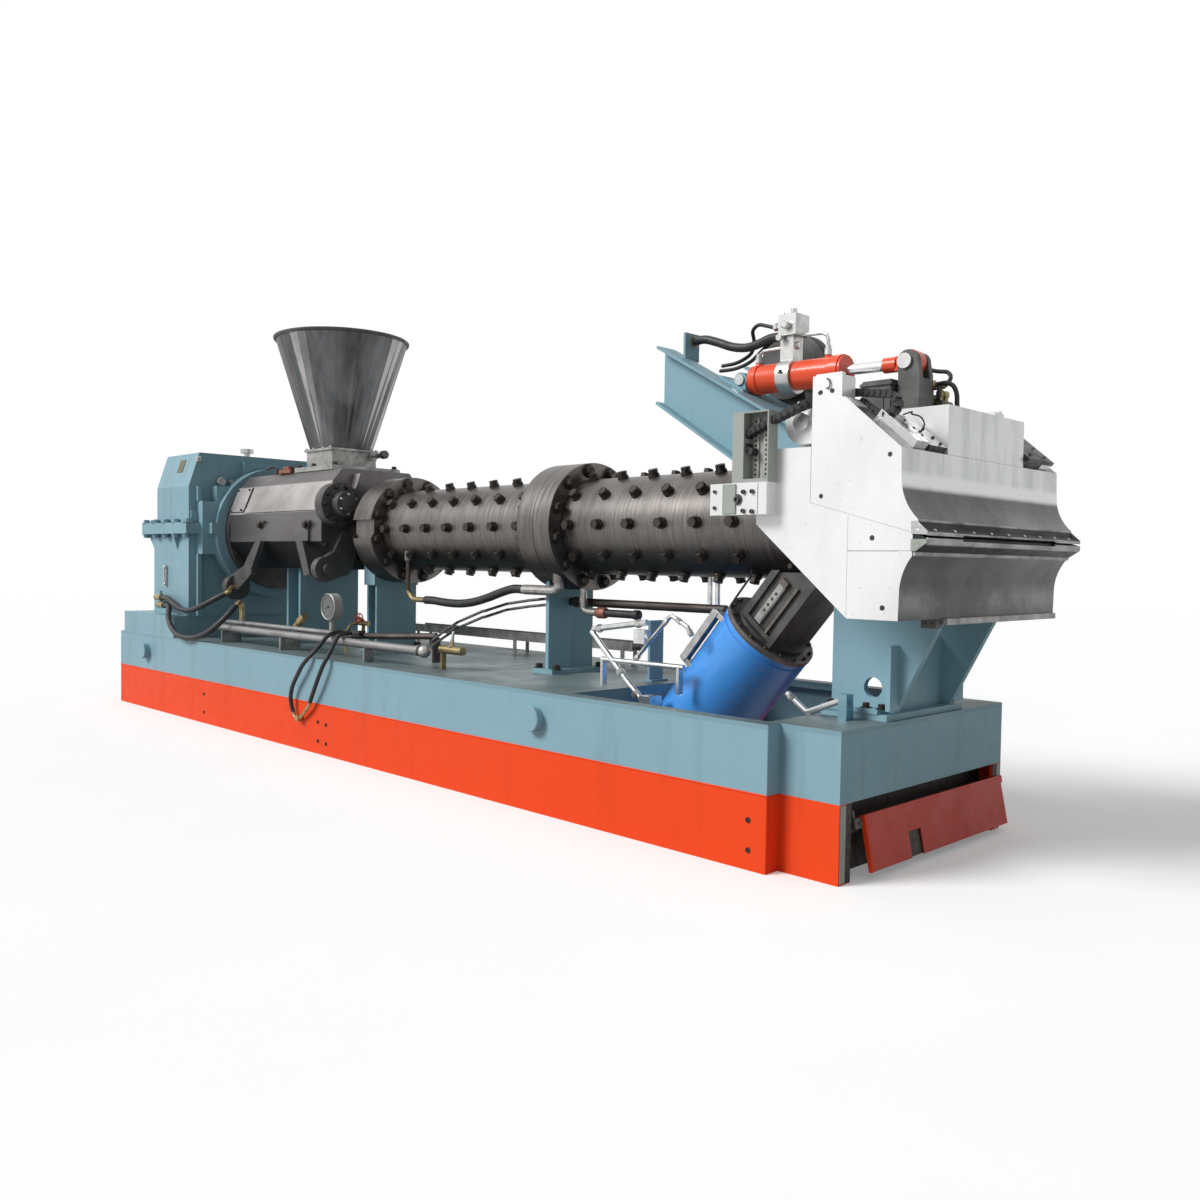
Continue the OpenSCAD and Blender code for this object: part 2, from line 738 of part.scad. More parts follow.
module barrel_stands() {
  // H column with a saddle under the barrel's neck
  color("#6c8f96") translate([rear_flange_x0 - 62, 0, 0]) union() {
    stand_foot(85, 190);
    for (x = [-60, 40]) box([x, -158, deck_z + foot_t], [x + 20, 158, saddle_z]);
    box([-40, -10, deck_z + foot_t], [40, 10, saddle_z]);
    difference() {
      box([-70, -175, saddle_z], [57, 175, axis_z - 200]);
      x_rod(-78, 200, barrel_neck_r + 0.3);
    }
  }
  // Plate column under the middle flange
  color("#7fa3a8") translate([mid_flange_x0 + 65, 0, 0]) difference() {
    union() {
      stand_foot(85, 210);
      box([column_x0, -170, deck_z + foot_t], [column_x1, 170, axis_z - flange_r + 60]);
    }
    x_rod(-25, 50, flange_r + 0.3);
  }
  // Upright plate behind the pit's tubes
  color("#5d828c") translate([pit_x0, 0, deck_z]) union() {
    box([-122, -24, 0], [-107, 80, 320]);
    box([-140, -36, 0], [-80, 92, 12]);
  }
}

// --- Die head ---

seam_z = axis_z + 43;                   // height of the parting line at the jaw's rear face
seam_dip = 15.2;                        // dip of the parting line towards the lips
seam_gap = 1;
body_x1 = jaw_x0 - 2;
body_edge_x = jaw_x0 + 168;
jaw_front_x = jaw_x0 + 430;
lip_x = jaw_x0 + 490;
flare_x = jaw_front_x - 48;             // narrowest place of the jaws' fronts
lower_flare_z = head_foot_z + 97;
upper_flare_z = axis_z + 122;
lower_flare_h = 136;
upper_flare_h = 150;
groove_z = axis_z - 142;                // groove along the lower jaw's sides
groove_t = 4;
slope_foot_x = jaw_front_x - 51;
slope_foot_z = axis_z + 229;

function seam(x) = seam_z - tan(seam_dip) * (x - jaw_x0);

// Concave quarter sweep that starts upright and flares out by dx over a height of dz
function flare(x, z, dx, dz) =
  let (r = (dx * dx + dz * dz) / (2 * dx), a1 = asin(abs(dz) / r) * sign(dz))
  [for (i = [0 : 8]) let (a = a1 * i / 8) [x + r - r * cos(a), z + r * sin(a)]];

function reversed(v) = [for (i = [len(v) - 1 : -1 : 0]) v[i]];

module head_body() {
  color("#d4d6d6") union() {
    across_y(-head_half_w, head_w) polygon([
      [body_x0, axis_z - 35], [body_x0, body_top_z + 4], [body_x1, body_top_z],
      [body_x1, seam(body_x1) - seam_gap], [body_edge_x, seam(body_edge_x) - seam_gap],
      [body_edge_x, head_foot_z]]);
    both_sides() difference() {
      across_y(-knuckle_y + knuckle_w / 2 + knuckle_room, ear_w) {
        translate([hinge_x, hinge_z]) circle(ear_r);
        polygon([[hinge_x - ear_r, body_top_z], [hinge_x + ear_r, body_top_z],
                 [hinge_x + ear_r, hinge_z], [hinge_x - ear_r, hinge_z]]);
      }
      y_rod(hinge_x, hinge_z, -knuckle_y, 2 * knuckle_w, hinge_pin_r + fit_gap);
    }
  }
}

module lower_jaw() {
  color("#c8cacb") difference() {
    lower_jaw_body();
    both_sides() box([body_edge_x, -head_half_w - e, groove_z],
                     [jaw_front_x, -head_half_w + groove_t, groove_z + groove_t]);
  }
}

module lower_jaw_body() {
  across_y(-head_half_w, head_w) polygon(concat(
    [[body_edge_x, head_foot_z], [body_edge_x, seam(body_edge_x) - seam_gap],
     [jaw_front_x, seam(jaw_front_x) - seam_gap]],
    reversed(flare(flare_x, lower_flare_z, jaw_front_x - flare_x, lower_flare_h)),
    [[flare_x - 2, head_foot_z]]));
}

slot_half_w = 414;                      // half width of the recess in the lips
slot_depth = 14;
slot_half_h = 11;
lip_h = 25;                             // height of the lower lip's front face below the parting line
lip_top_h = 14;
band_h = 29;                            // height of the upright band above the upper lip

// Recess in the lips, where the sheet leaves the die
module lip_recess() {
  box([lip_x - slot_depth, -slot_half_w, seam(lip_x) - slot_half_h],
      [lip_x + e, slot_half_w, seam(lip_x) + slot_half_h]);
}

module lower_die_bar() {
  color("#9a9c9e") difference() {
    across_y(-head_half_w, head_w) polygon([
      [jaw_front_x, seam(jaw_front_x) - seam_gap], [lip_x, seam(lip_x) - die_gap / 2],
      [lip_x, seam(lip_x) - lip_h], [jaw_front_x + 12, lower_flare_z + lower_flare_h + 12],
      [jaw_front_x + 12, lower_flare_z + lower_flare_h + 4],
      [jaw_front_x + 4, lower_flare_z + lower_flare_h]]);
    lip_recess();
  }
}

module upper_jaw() {
  color("#d9dbdb") difference() {
    union() {
      across_y(-head_half_w, head_w) polygon(concat(
        [[jaw_x0, seam(jaw_x0)], [jaw_x0, jaw_top_z], [jaw_edge_x, jaw_top_z],
         [slope_foot_x, slope_foot_z]],
        flare(flare_x, upper_flare_z, jaw_front_x + 20 - flare_x, -upper_flare_h),
        [[jaw_front_x, seam(jaw_front_x)]]));
      both_sides() across_y(-head_half_w, cheek_t) polygon([
        [jaw_x0, jaw_top_z - 70], [jaw_x0, jaw_top_z + 150], [jaw_x0 + 129, jaw_top_z + 145],
        [jaw_x0 + 129, jaw_top_z + 62], [jaw_x0 + 144, jaw_top_z + 60], [slope_foot_x, slope_foot_z],
        [jaw_edge_x + 18, axis_z + 100]]);
      both_sides() across_y(-knuckle_y - knuckle_w / 2, knuckle_w) {
        translate([hinge_x, hinge_z]) circle(knuckle_r);
        polygon([[hinge_x, hinge_z - knuckle_r], [jaw_x0 + 20, hinge_z - knuckle_r],
                 [jaw_x0 + 20, hinge_z + knuckle_r], [hinge_x, hinge_z + knuckle_r]]);
      }
    }
    both_sides() y_rod(hinge_x, hinge_z, -knuckle_y - 60, 120, hinge_pin_r + fit_gap);
  }
}

jaw_top_z = axis_z + 370;
jaw_edge_x = jaw_x0 + 214;

module upper_die_bar() {
  color("#8f9193") difference() {
    across_y(-head_half_w, head_w) polygon([
      [jaw_front_x, seam(jaw_front_x)], [jaw_front_x + 20, upper_flare_z - upper_flare_h],
      [jaw_front_x + 24, upper_flare_z - upper_flare_h - band_h], [lip_x, seam(lip_x) + lip_top_h],
      [lip_x, seam(lip_x) + die_gap / 2]]);
    lip_recess();
  }
}

// Height of the jaw's sloping front at x
function jaw_slope(x) =
  jaw_top_z - (jaw_top_z - slope_foot_z) * (x - jaw_edge_x) / (slope_foot_x - jaw_edge_x);

block_x0 = jaw_x0 + 132;
block_x1 = slope_foot_x - 2;
block_top_z = jaw_top_z + 50;
junction_w = 150;
junction_h = 170;

module top_block() {
  color("#e2e4e4") {
    across_y(-top_block_half_w, 2 * top_block_half_w) polygon([
      [block_x0, jaw_top_z], [block_x0, block_top_z], [block_x1, block_top_z],
      [block_x1, jaw_slope(block_x1)], [jaw_edge_x, jaw_top_z]]);
    // Junction box behind the block
    box([jaw_x0 + 4, -top_block_half_w, jaw_top_z],
        [block_x0 - 2, -top_block_half_w + junction_w, jaw_top_z + junction_h]);
  }
}

// Strip of thickness t laid on the jaw's sloping front
module slope_strip(y0, w, t) {
  x0 = jaw_edge_x + 8;
  x1 = slope_foot_x - 8;
  out = unit([jaw_top_z - slope_foot_z, slope_foot_x - jaw_edge_x]);
  across_y(y0, w) polygon([[x0, jaw_slope(x0)] + seat_gap * out, [x1, jaw_slope(x1)] + seat_gap * out,
                           [x1, jaw_slope(x1)] + t * out, [x0, jaw_slope(x0)] + t * out]);
}

guide_w = 86;
guide_t = 30;
ledge_y = 105;                          // start of the lower strip beside the guide
ledge_t = 22;
block_room = 20;                        // room between that strip and the top block

module guide_bars() {
  color("#d8dada") both_sides() {
    slope_strip(-head_half_w + cheek_t + 2, guide_w, guide_t);
    slope_strip(-head_half_w + cheek_t + ledge_y,
                head_half_w - cheek_t - ledge_y - top_block_half_w - block_room, ledge_t);
  }
}

eye_r = 50;
eye_w = 46;
lug_gap = 52;
lug_t = 28;
lug_straight_h = 140;
link_play = 7;                          // play that the open pivot of the linkage needs
front_pin_r = 24;

module ram_lugs() {
  // Forked lug that carries the front pin of the opening cylinder
  color("#55585a") difference() {
    across_y(ram_y - lug_gap / 2 - lug_t, lug_gap + 2 * lug_t) union() {
      translate([ram_pin_x + 8, ram_pin_z]) circle(44);
      polygon([[ram_pin_x - 30, block_top_z], [ram_pin_x + 62, block_top_z],
               [ram_pin_x + 62, block_top_z + lug_straight_h], [ram_pin_x + 52, ram_pin_z],
               [ram_pin_x - 36, ram_pin_z], [ram_pin_x - 30, block_top_z + lug_straight_h]]);
    }
    across_y(ram_y - lug_gap / 2, lug_gap)
      translate([ram_pin_x - 143, ram_pin_z - eye_r - 18]) square([300, 200]);
    y_rod(ram_pin_x, ram_pin_z, ram_y - 100, 200, front_pin_r + fit_gap);
  }
}

module ram_front_pin() {
  w = lug_gap + 2 * lug_t;
  color("#e0e0e0") union() {
    y_rod(ram_pin_x, ram_pin_z, ram_y - w / 2 - 12, w + 24, front_pin_r);
    y_rod(ram_pin_x, ram_pin_z, ram_y - w / 2 - 12, 12, front_pin_r + 6);
  }
}

stand_y = 230;

stand_front_x = body_edge_x + 169;
stand_rear_x = pit_x1 + 5;
stand_plate_t = 30;

module head_stand() {
  color("#5f8088") union() {
    box([pit_x1, -320, deck_z], [base_x1 - 20, 320, deck_z + foot_t]);
    both_sides() difference() {
      union() {
        across_y(-stand_y - stand_plate_t / 2, stand_plate_t) polygon([
          [stand_rear_x, deck_z + foot_t], [body_edge_x - 36, deck_z + foot_t],
          [stand_front_x, head_foot_z], [body_edge_x, head_foot_z],
          [stand_rear_x, head_foot_z + (body_edge_x - stand_rear_x) * (axis_z - 35 - head_foot_z)
                                        / (body_edge_x - body_x0)]]);
        // Foot plate and rib of the upright
        box([body_edge_x - 330, -stand_y - 95, deck_z + foot_t],
            [base_x1 - 60, -stand_y - 10, deck_z + foot_t + 20]);
        box([body_edge_x - 40, -stand_y - 80, deck_z + foot_t + 15],
            [body_edge_x - 20, -stand_y, head_foot_z - 120]);
      }
      y_rod(body_edge_x - 136, deck_z + 123, -stand_y - 20, 40, 42);
    }
    box([body_edge_x - 106, -stand_y + 15, deck_z + foot_t],
        [body_edge_x - 81, stand_y - 15, head_foot_z - 109]);
  }
}

bracket_x0 = barrel_x1 - 184;
bracket_x1 = barrel_x1 + 96;
bracket_w = 65;
bracket_top_z = axis_z + 126;
channel_w = 60;
channel_t = 6;

module side_brackets() {
  color("#c9cbcb") both_sides() box([bracket_x0, -head_half_w - bracket_w, axis_z],
                                       [bracket_x1, -head_half_w, bracket_top_z]);
}

module cable_box() {
  // Upright channel for the cable chain, open towards the side
  x0 = bracket_x0 + 105;
  color("#9fa39c") difference() {
    box([x0, -head_half_w - channel_w, bracket_top_z], [bracket_x1, -head_half_w, bracket_top_z + 279]);
    box([x0 + 55, -head_half_w - channel_w - e, bracket_top_z + 15],
        [bracket_x1 - channel_t, -head_half_w - channel_t, bracket_top_z + 273]);
  }
}

beam_y = 330;
beam_half_w = 65;
beam_rear_x = barrel_x1 - 809;
beam_rise = 29.2;                       // slope of the beams' upper flange

bridge_x0 = ram_rear_x - 131;
bridge_x1 = ram_rear_x + 269;
bridge_t = 30;
clevis_w = 150;
foot_lip = 18;
seat_gap = 0.1;
clevis_r = 34;
clevis_t = 14;
clevis_foot_l = 45;
clevis_x0 = ram_rear_x - 110;
clevis_x1 = ram_rear_x + 30;
beam_rear_z = axis_z + 823;
beam_rear_h = 274;
hose_bracket_x = beam_rear_x + 92;
bulkhead_r = 24;
function beam_top(x) = beam_rear_z - tan(beam_rise) * (x - beam_rear_x);
function beam_foot(x) = beam_rear_z - beam_rear_h - tan(beam_rise + 2.9) * (x - beam_rear_x);

module cylinder_beams() {
  // Pair of tapering I beams that reach back and up from the head
  color("#6f98a4") {
    beam_pair();
    // Bracket of the cylinder's hose
    difference() {
      box([hose_bracket_x, -beam_y + 20, beam_top(hose_bracket_x) - 14],
          [hose_bracket_x + 12, ram_y + 40, beam_rear_z + 62]);
      x_rod(hose_bracket_x - e, 12 + 2 * e, bulkhead_r + 0.3, hose_cylinder[0].y, hose_cylinder[0].z);
    }
  }
}

module beam_pair() {
  both_sides() translate([0, -beam_y, 0]) union() {
    across_y(-6, 12) polygon([
      [beam_rear_x, beam_foot(beam_rear_x)], [beam_rear_x, beam_top(beam_rear_x)],
      [body_x0, beam_top(body_x0)], [body_x0, beam_foot(body_x0)]]);
    across_y(-beam_half_w, 2 * beam_half_w) polygon([
      [beam_rear_x, beam_top(beam_rear_x) - 14], [beam_rear_x, beam_top(beam_rear_x)],
      [body_x0, beam_top(body_x0)], [body_x0, beam_top(body_x0) - 14]]);
    across_y(-beam_half_w, 2 * beam_half_w) polygon([
      [beam_rear_x, beam_foot(beam_rear_x)], [beam_rear_x, beam_foot(beam_rear_x) + 14],
      [body_x0, beam_foot(body_x0) + 14], [body_x0, beam_foot(body_x0)]]);
  }
}

module beam_bridge() {
  // Plate between the beams, flush with their upper flanges, and the rear clevis on it
  color("#5d828c") difference() {
    union() {
      across_y(-beam_y + beam_half_w, 2 * (beam_y - beam_half_w)) polygon([
        [bridge_x0, beam_top(bridge_x0) - bridge_t], [bridge_x0, beam_top(bridge_x0)],
        [bridge_x1, beam_top(bridge_x1)], [bridge_x1, beam_top(bridge_x1) - bridge_t]]);
      for (s = [-1, 1]) {
        cheek_y = ram_y + s * (lug_gap + lug_t) / 2 - lug_t / 2;
        across_y(cheek_y - (s < 0 ? foot_lip : 0), lug_t + foot_lip) polygon([
          [clevis_x0, beam_top(clevis_x0) + seat_gap], [clevis_x0, beam_top(clevis_x0) + clevis_t],
          [clevis_x1, beam_top(clevis_x1) + clevis_t], [clevis_x1, beam_top(clevis_x1) + seat_gap]]);
        across_y(cheek_y, lug_t) {
          translate([ram_rear_x, ram_rear_z]) circle(clevis_r);
          polygon([[clevis_x0 + 30, beam_top(clevis_x0 + 30) + clevis_t / 2],
                   [clevis_x1, beam_top(clevis_x1) + clevis_t / 2],
                   [ram_rear_x + clevis_r * 0.8, ram_rear_z], [ram_rear_x - clevis_r * 0.8, ram_rear_z]]);
        }
      }
      // Web that joins the cheeks' feet to the bridge
      across_y(ram_y + lug_gap / 2, lug_t) polygon([
        [clevis_x0, beam_top(clevis_x0) - 2], [clevis_x0, beam_top(clevis_x0) + 2],
        [clevis_x1, beam_top(clevis_x1) + 2], [clevis_x1, beam_top(clevis_x1) - 2]]);
      across_y(ram_y - lug_gap / 2 - lug_t, 2 * lug_t + lug_gap) polygon([
        [clevis_x0, beam_top(clevis_x0) + seat_gap], [clevis_x0, beam_top(clevis_x0) + clevis_t],
        [clevis_x0 + clevis_foot_l, beam_top(clevis_x0 + clevis_foot_l) + clevis_t],
        [clevis_x0 + clevis_foot_l, beam_top(clevis_x0 + clevis_foot_l) + seat_gap]]);
    }
    y_rod(ram_rear_x, ram_rear_z, ram_y - clevis_w, 2 * clevis_w, front_pin_r + fit_gap);
  }
}

module pivot_pins() {
  w = lug_gap + 2 * lug_t;
  color("#b0b2b2") {
    both_sides() y_rod(hinge_x, hinge_z, -knuckle_y - 60, 205, hinge_pin_r);
    y_rod(ram_rear_x, ram_rear_z, ram_y - w / 2 - 10, w + 20, front_pin_r);
  }
}

drum_r = 142;
drum_rim_r = 152;
drum_half_w = 60;
drum_x = ram_rear_x + 82;
drum_z = beam_top(drum_x) + (drum_rim_r + 1) / cos(beam_rise);

module accumulator() {
  // Flat round pressure vessel on a foot that stands on the bridge
  color("#6d7072") {
    y_rod(drum_x, drum_z, -drum_half_w, 2 * drum_half_w, drum_r);
    both_sides() y_rod(drum_x, drum_z, -drum_half_w - 6, 22, drum_rim_r);
    across_y(-drum_half_w + 20, 2 * drum_half_w - 40) polygon([
      [drum_x - 70, beam_top(drum_x - 70) + seat_gap], [drum_x + 100, beam_top(drum_x + 100) + seat_gap],
      [drum_x + 70, drum_z - 60], [drum_x - 50, drum_z - 60]]);
    y_rod(drum_x, drum_z, -drum_half_w - 34, 40, 38);
  }
}

module ram_frame() {
  // Axis of the cylinder along +Z, from the rear pin
  translate([ram_rear_x, ram_y, ram_rear_z]) rotate([0, 90 - ram_dip, 0]) children();
}

module cross_eye(l, r, w, hole) {
  // Flat eye at the origin with a neck of length l along +Z
  difference() {
    union() {
      translate([0, w / 2, 0]) rotate([90, 0, 0]) cylinder(h = w, r = r);
      box([-r * 0.7, -w / 2, 0], [r * 0.7, w / 2, l]);
    }
    translate([0, w / 2 + e, 0]) rotate([90, 0, 0]) cylinder(h = w + 2 * e, r = hole);
  }
}

tube_x0 = 41;
tube_x1 = 514;
tube_bore_r = 48;
rod_x0 = 290;
piston_l = 50;
gland_l = 58;
gland_r = ram_r + 5;
ram_port_x = [62, 422];                 // places of the two oil ports along the cylinder
ram_port_r = 15;
ram_port_h = 8;

module ram_tube() {
  color("#e8542c") ram_frame() {
    cross_eye(tube_x0, 34, eye_w, front_pin_r + fit_gap);
    difference() {
      union() {
        translate([0, 0, tube_x0]) cylinder(h = tube_x1 - tube_x0, r = ram_r);
        // Gland ring in front, cap ring behind, and the two oil ports
        translate([0, 0, tube_x1 - gland_l]) cylinder(h = gland_l - 12, r = gland_r);
        translate([0, 0, tube_x0 + 22]) cylinder(h = 20, r = gland_r);
        for (x = ram_port_x) translate([0, 0, x]) rotate([0, -90, 0])
          cylinder(h = ram_r + ram_port_h, r = ram_port_r);
      }
      translate([0, 0, tube_x0 + 20]) cylinder(h = tube_x1 - tube_x0 - 50, r = tube_bore_r);
      translate([0, 0, tube_x1 - 50]) cylinder(h = 60, r = ram_rod_r + fit_gap);
    }
  }
}

module ram_rod() {
  color("#d8dadb") ram_frame() {
    translate([0, 0, rod_x0]) cylinder(h = piston_l, r = tube_bore_r - fit_gap);
    translate([0, 0, rod_x0]) cylinder(h = ram_len - rod_x0 - eye_r, r = ram_rod_r);
  }
}

module ram_eye() {
  color("#e8542c") ram_frame() translate([0, 0, ram_len]) rotate([180, 0, 0])
    difference() {
      union() {
        translate([0, eye_w / 2, 0]) rotate([90, 0, 0]) cylinder(h = eye_w, r = eye_r);
        box([-28, -eye_w / 2, 0], [28, eye_w / 2, eye_r + 14]);
        translate([0, 0, eye_r + 12]) cylinder(h = 58, r = 31);
      }
      translate([0, eye_w / 2 + e, 0]) rotate([90, 0, 0])
        cylinder(h = eye_w + 2 * e, r = front_pin_r + link_play);
      translate([0, 0, eye_r]) cylinder(h = 90, r = ram_rod_r + 0.05);
    }
}

block_y = 36;
band_l = 68;
valve_x = ram_rear_x + 235;
valve_foot_z = ram_rear_z + 55;

// Oil pipes from the valve to the cylinder's ports, from its rear pin
front_pipe = [[264, 0, 168], [329, 0, 164], [391, 0, 161], [412, 0, 150], [422, 0, 128], [422, 0, 62.6]];
rear_pipe = [[62, 0, 70.1], [62, 0, 96], [69, 0, 114], [86, 0, 123], [120, 0, 124], [206, 0, 124]];
valve_pipe_d = 16;

module valve_block() {
  // Clamping band round the cylinder's tube with a column and a valve on it
  color("#c3c6c6") difference() {
    union() {
      ram_frame() translate([0, 0, 201]) cylinder(h = band_l, r = ram_r + 13);
      box([valve_x - 34, ram_y - block_y, valve_foot_z], [valve_x + 33, ram_y + block_y, valve_foot_z + 112]);
      box([valve_x - 37, ram_y - 50, valve_foot_z + 110], [valve_x + 53, ram_y + 50, valve_foot_z + 201]);
      x_rod(valve_x + 33, 12, 17, ram_y, valve_foot_z + 70);
      x_rod(valve_x - 50, 20, 22, ram_y, valve_foot_z + 120);
      translate([valve_x + 8, ram_y, valve_foot_z + 200]) cylinder(h = 30, r = 14);
      for (p = [front_pipe, rear_pipe]) tube(moved(p, [ram_rear_x, ram_y, ram_rear_z]), valve_pipe_d);
    }
    ram_frame() translate([0, 0, 150]) cylinder(h = 200, r = ram_r + 0.3);
  }
}

module clamp_frame() {
  translate([clamp_x, 0, clamp_z]) rotate([0, clamp_tilt, 0]) children();
}

rim_t = 22;
collar_r = 178;
collar_h = 18;
neck_x0 = -105;
neck_x1 = 122;
neck_half_w = 150;
neck_rail_w = 34;
neck_recess = 16;
neck_up = 560;

module clamp_cylinder() {
  color("#3c82d7") clamp_frame() difference() {
    translate([0, 0, -clamp_l]) cylinder(h = clamp_l, r = clamp_r);
    // Groove under the rim
    translate([0, 0, -rim_t - 10]) difference() {
      cylinder(h = 8, r = clamp_r + e);
      translate([0, 0, -e]) cylinder(h = 8 + 2 * e, r = clamp_r - 5);
    }
  }
}

module clamp_neck() {
  color("#4c4e50") difference() {
    clamp_frame() difference() {
      union() {
        box([neck_x0, -neck_half_w, rim_t - 2], [neck_x1, neck_half_w, neck_up]);
        cylinder(h = rim_t, r = clamp_r);
        cylinder(h = rim_t + collar_h, r = collar_r);
      }
      // Recess between the rails of each side
      for (s = [-1, 1])
        box([neck_x0 + neck_rail_w, s * neck_half_w - neck_recess, rim_t + collar_h + 24],
            [neck_x1 - neck_rail_w, s * neck_half_w + neck_recess, neck_up + e]);
    }
    x_rod(mid_flange_x1, barrel_front_l, barrel_r + 5);
  }
}

module clamp_seat() {
  color("#4a6264") difference() {
    box([pit_x0, -260, 0], [pit_x0 + 380, 260, 420]);
    clamp_frame() translate([0, 0, -clamp_l]) cylinder(h = clamp_l, r = clamp_r + 0.3);
  }
}

pipe_x0 = feed_x0 + 140;
near_pipe_y = -600;
near_pipe_z = deck_z + 103;
near_pipe_r = 27;
rear_pipe_y = -520;
rear_pipe_z = deck_z + 137;
rear_pipe_r = 20;
gauge_x = -480;
gauge_z = deck_z + 308;
gauge_r = 87;
upright_x = -1745;
boss_h = 27;
dark_pipe = [[-395, -500, 713], [-200, -450, 719], [40, -385, 728], [354, -300, 744]];
pipe_support_x = [-1819, -949, 84];

return_z = axis_z - 419;
return_r = 23;
return_l = 1110;
riser_x = mid_flange_x1 + 821;
riser_pitch = 48;
riser_r = 13;

module cooling_pipes() {
  // Two pipes along the deck on upright plates, and a third that runs on inwards
  color("#7a7c7c") {
    x_rod(pipe_x0, 590 - pipe_x0, near_pipe_r, near_pipe_y, near_pipe_z);
    x_rod(590, 24, near_pipe_r + 5, near_pipe_y, near_pipe_z);
    x_rod(pipe_x0, gauge_x + 20 - pipe_x0, rear_pipe_r, rear_pipe_y, rear_pipe_z);
    for (x = pipe_support_x) {
      box([x - 9, near_pipe_y - 38, deck_z], [x + 9, near_pipe_y + 30, near_pipe_z - near_pipe_r + 9]);
      if (x < gauge_x)
        box([x - 9, near_pipe_y + 25, deck_z], [x + 9, rear_pipe_y + 28, rear_pipe_z - rear_pipe_r + 7]);
    }
    // Bosses for the gauge and for the upright fitting
    for (x = [gauge_x, upright_x]) translate([x, rear_pipe_y, rear_pipe_z]) cylinder(h = boss_h, r = 19);
    tube(dark_pipe, 40, 12);
    // Return pipe from the plate column, carried by the two upright tubes
    x_rod(mid_flange_x0 + 65 + column_x1 + 0.3, return_l, return_r, 0, return_z);
    x_rod(mid_flange_x0 + 65 + column_x1 + 40, 26, return_r + 8, 0, return_z);
    // Ports of the two hanging hoses
    for (p = [[hose_left[0], -486], [hose_right[0], -454]]) {
      translate([p[0].x, p[1], 715]) cylinder(h = p[0].z + 12 - 715, r = 15);
      y_rod(p[0].x, p[0].z, p[0].y, p[1] - p[0].y, 15);
    }
    x_rod(dark_pipe[0].x - 22, 24, 25, dark_pipe[0].y, dark_pipe[0].z);
    box([345, -325, deck_z], [363, -275, dark_pipe[3].z - 10]);
  }
}

module pressure_gauge() {
  stem_z = rear_pipe_z + boss_h;
  color("#b9bbbb") union() {
    translate([gauge_x, rear_pipe_y, stem_z]) cylinder(h = gauge_z - gauge_r + 12 - stem_z, r = 18);
    y_rod(gauge_x, gauge_z, rear_pipe_y - 28, 56, gauge_r);
  }
}

// --- Steel tubes, fittings and hoses ---

// Routes of the steel tubes, from the pit's rear or front end and the deck
vee_tube = [[126, -300, 330], [-60, -300, 304], [-248, -300, 277], [-260, -300, 265], [-150, -300, 165],
            [-30, -300, 55], [-15, -300, 40], [90, -300, -45], [150, -300, -65]];
knee_tube = [[23, -300, 114], [150, -300, 245], [270, -300, 361], [285, -300, 368], [300, -300, 363],
             [384, -300, 321], [409, -300, 285]];
corner_tube = [[-114, -400, 81], [-25, -400, 19], [-13, -400, 12], [0, -400, 16], [80, -400, 49],
               [172, -400, 85]];
twin_tube = [[628, -520, 712], [722, -520, 765], [722, -470, 790], [701, -400, 817], [815, -400, 853],
             [925, -400, 888], [929, -385, 890], [904, -210, 925], [910, -200, 927], [1092, -200, 952],
             [1140, -175, 958], [1160, -150, 962], [mid_flange_x0 + 47.7, -150, 962]];
twin_pitch = 34;
rail_l = 546;
rail_r = 14;
post_half = 8;

function moved(p, v) = [for (q = p) q + v];

module steel_tubes() {
  color("#c6c9ca") {
    tube(moved(vee_tube, [pit_x0, 0, deck_z]), 30, 10);
    tube(moved(knee_tube, [pit_x0, 0, deck_z]), 22, 10);
    tube(moved(corner_tube, [pit_x1, 0, deck_z]), 26, 10);
    for (k = [0, 1]) translate([0, 0, k * twin_pitch]) tube(twin_tube, 16);
    translate([pit_x0, 0, deck_z]) {
      // Rail on two posts that the knee tube leaves from
      x_rod(-179, rail_l, rail_r, -300, 128);
      for (x = [-170, 340])
        box([x - post_half, -300 - 2 * post_half, 0], [x + post_half, -300 + 2 * post_half, 131]);
      // Blocks that carry the tubes' ends
      box([120, -345, -100], [190, -255, -25]);
      box([73, -340, 227], [144, -292, 295]);
    }
    translate([pit_x1, 0, deck_z]) box([150, -425, 0], [190, -375, 105]);
    // Two upright tubes from the return pipe to the barrel
    for (k = [0, 1]) translate([riser_x + k * riser_pitch, 0, return_z + return_r + 0.3])
      cylinder(h = axis_z - barrel_r - 0.3 - (return_z + return_r + 0.3), r = riser_r);
  }
}

hose_left = [[-339, -525, 738], [-339, -570, 738], [-322, -622, 730], [-300, -675, 703], [-284, -722, 662],
             [-286, -768, 618], [-322, -790, 574], [-368, -797, 531], [-415, -797, 479], [-460, -795, 432],
             [-496, -793, 382], [-515, -791, 325], [-510, -787, 270], [-495, -782, 232]];
hose_right = [[-215, -540, 738], [-215, -585, 738], [-190, -640, 728], [-145, -696, 694], [-102, -748, 650],
              [-92, -785, 598], [-120, -797, 545], [-155, -799, 490], [-195, -798, 430], [-235, -795, 372],
              [-276, -790, 318]];
hose_upper = [[-2760, -690, 880], [-2690, -690, 880], [-2590, -700, 868], [-2480, -710, 836],
              [-2360, -712, 806], [-2220, -704, 800], [-2095, -678, 832], [-1990, -630, 884],
              [-1925, -560, 935]];
hose_lower = [[-2690, -700, 822], [-2620, -700, 822], [-2540, -724, 806], [-2450, -766, 772],
              [-2370, -796, 722], [-2290, -806, 664], [-2180, -804, 620], [-2060, -788, 606],
              [-1930, -762, 622],
              [-1820, -724, 670], [-1752, -676, 736], [-1725, -620, 804], [-1735, -570, 852]];
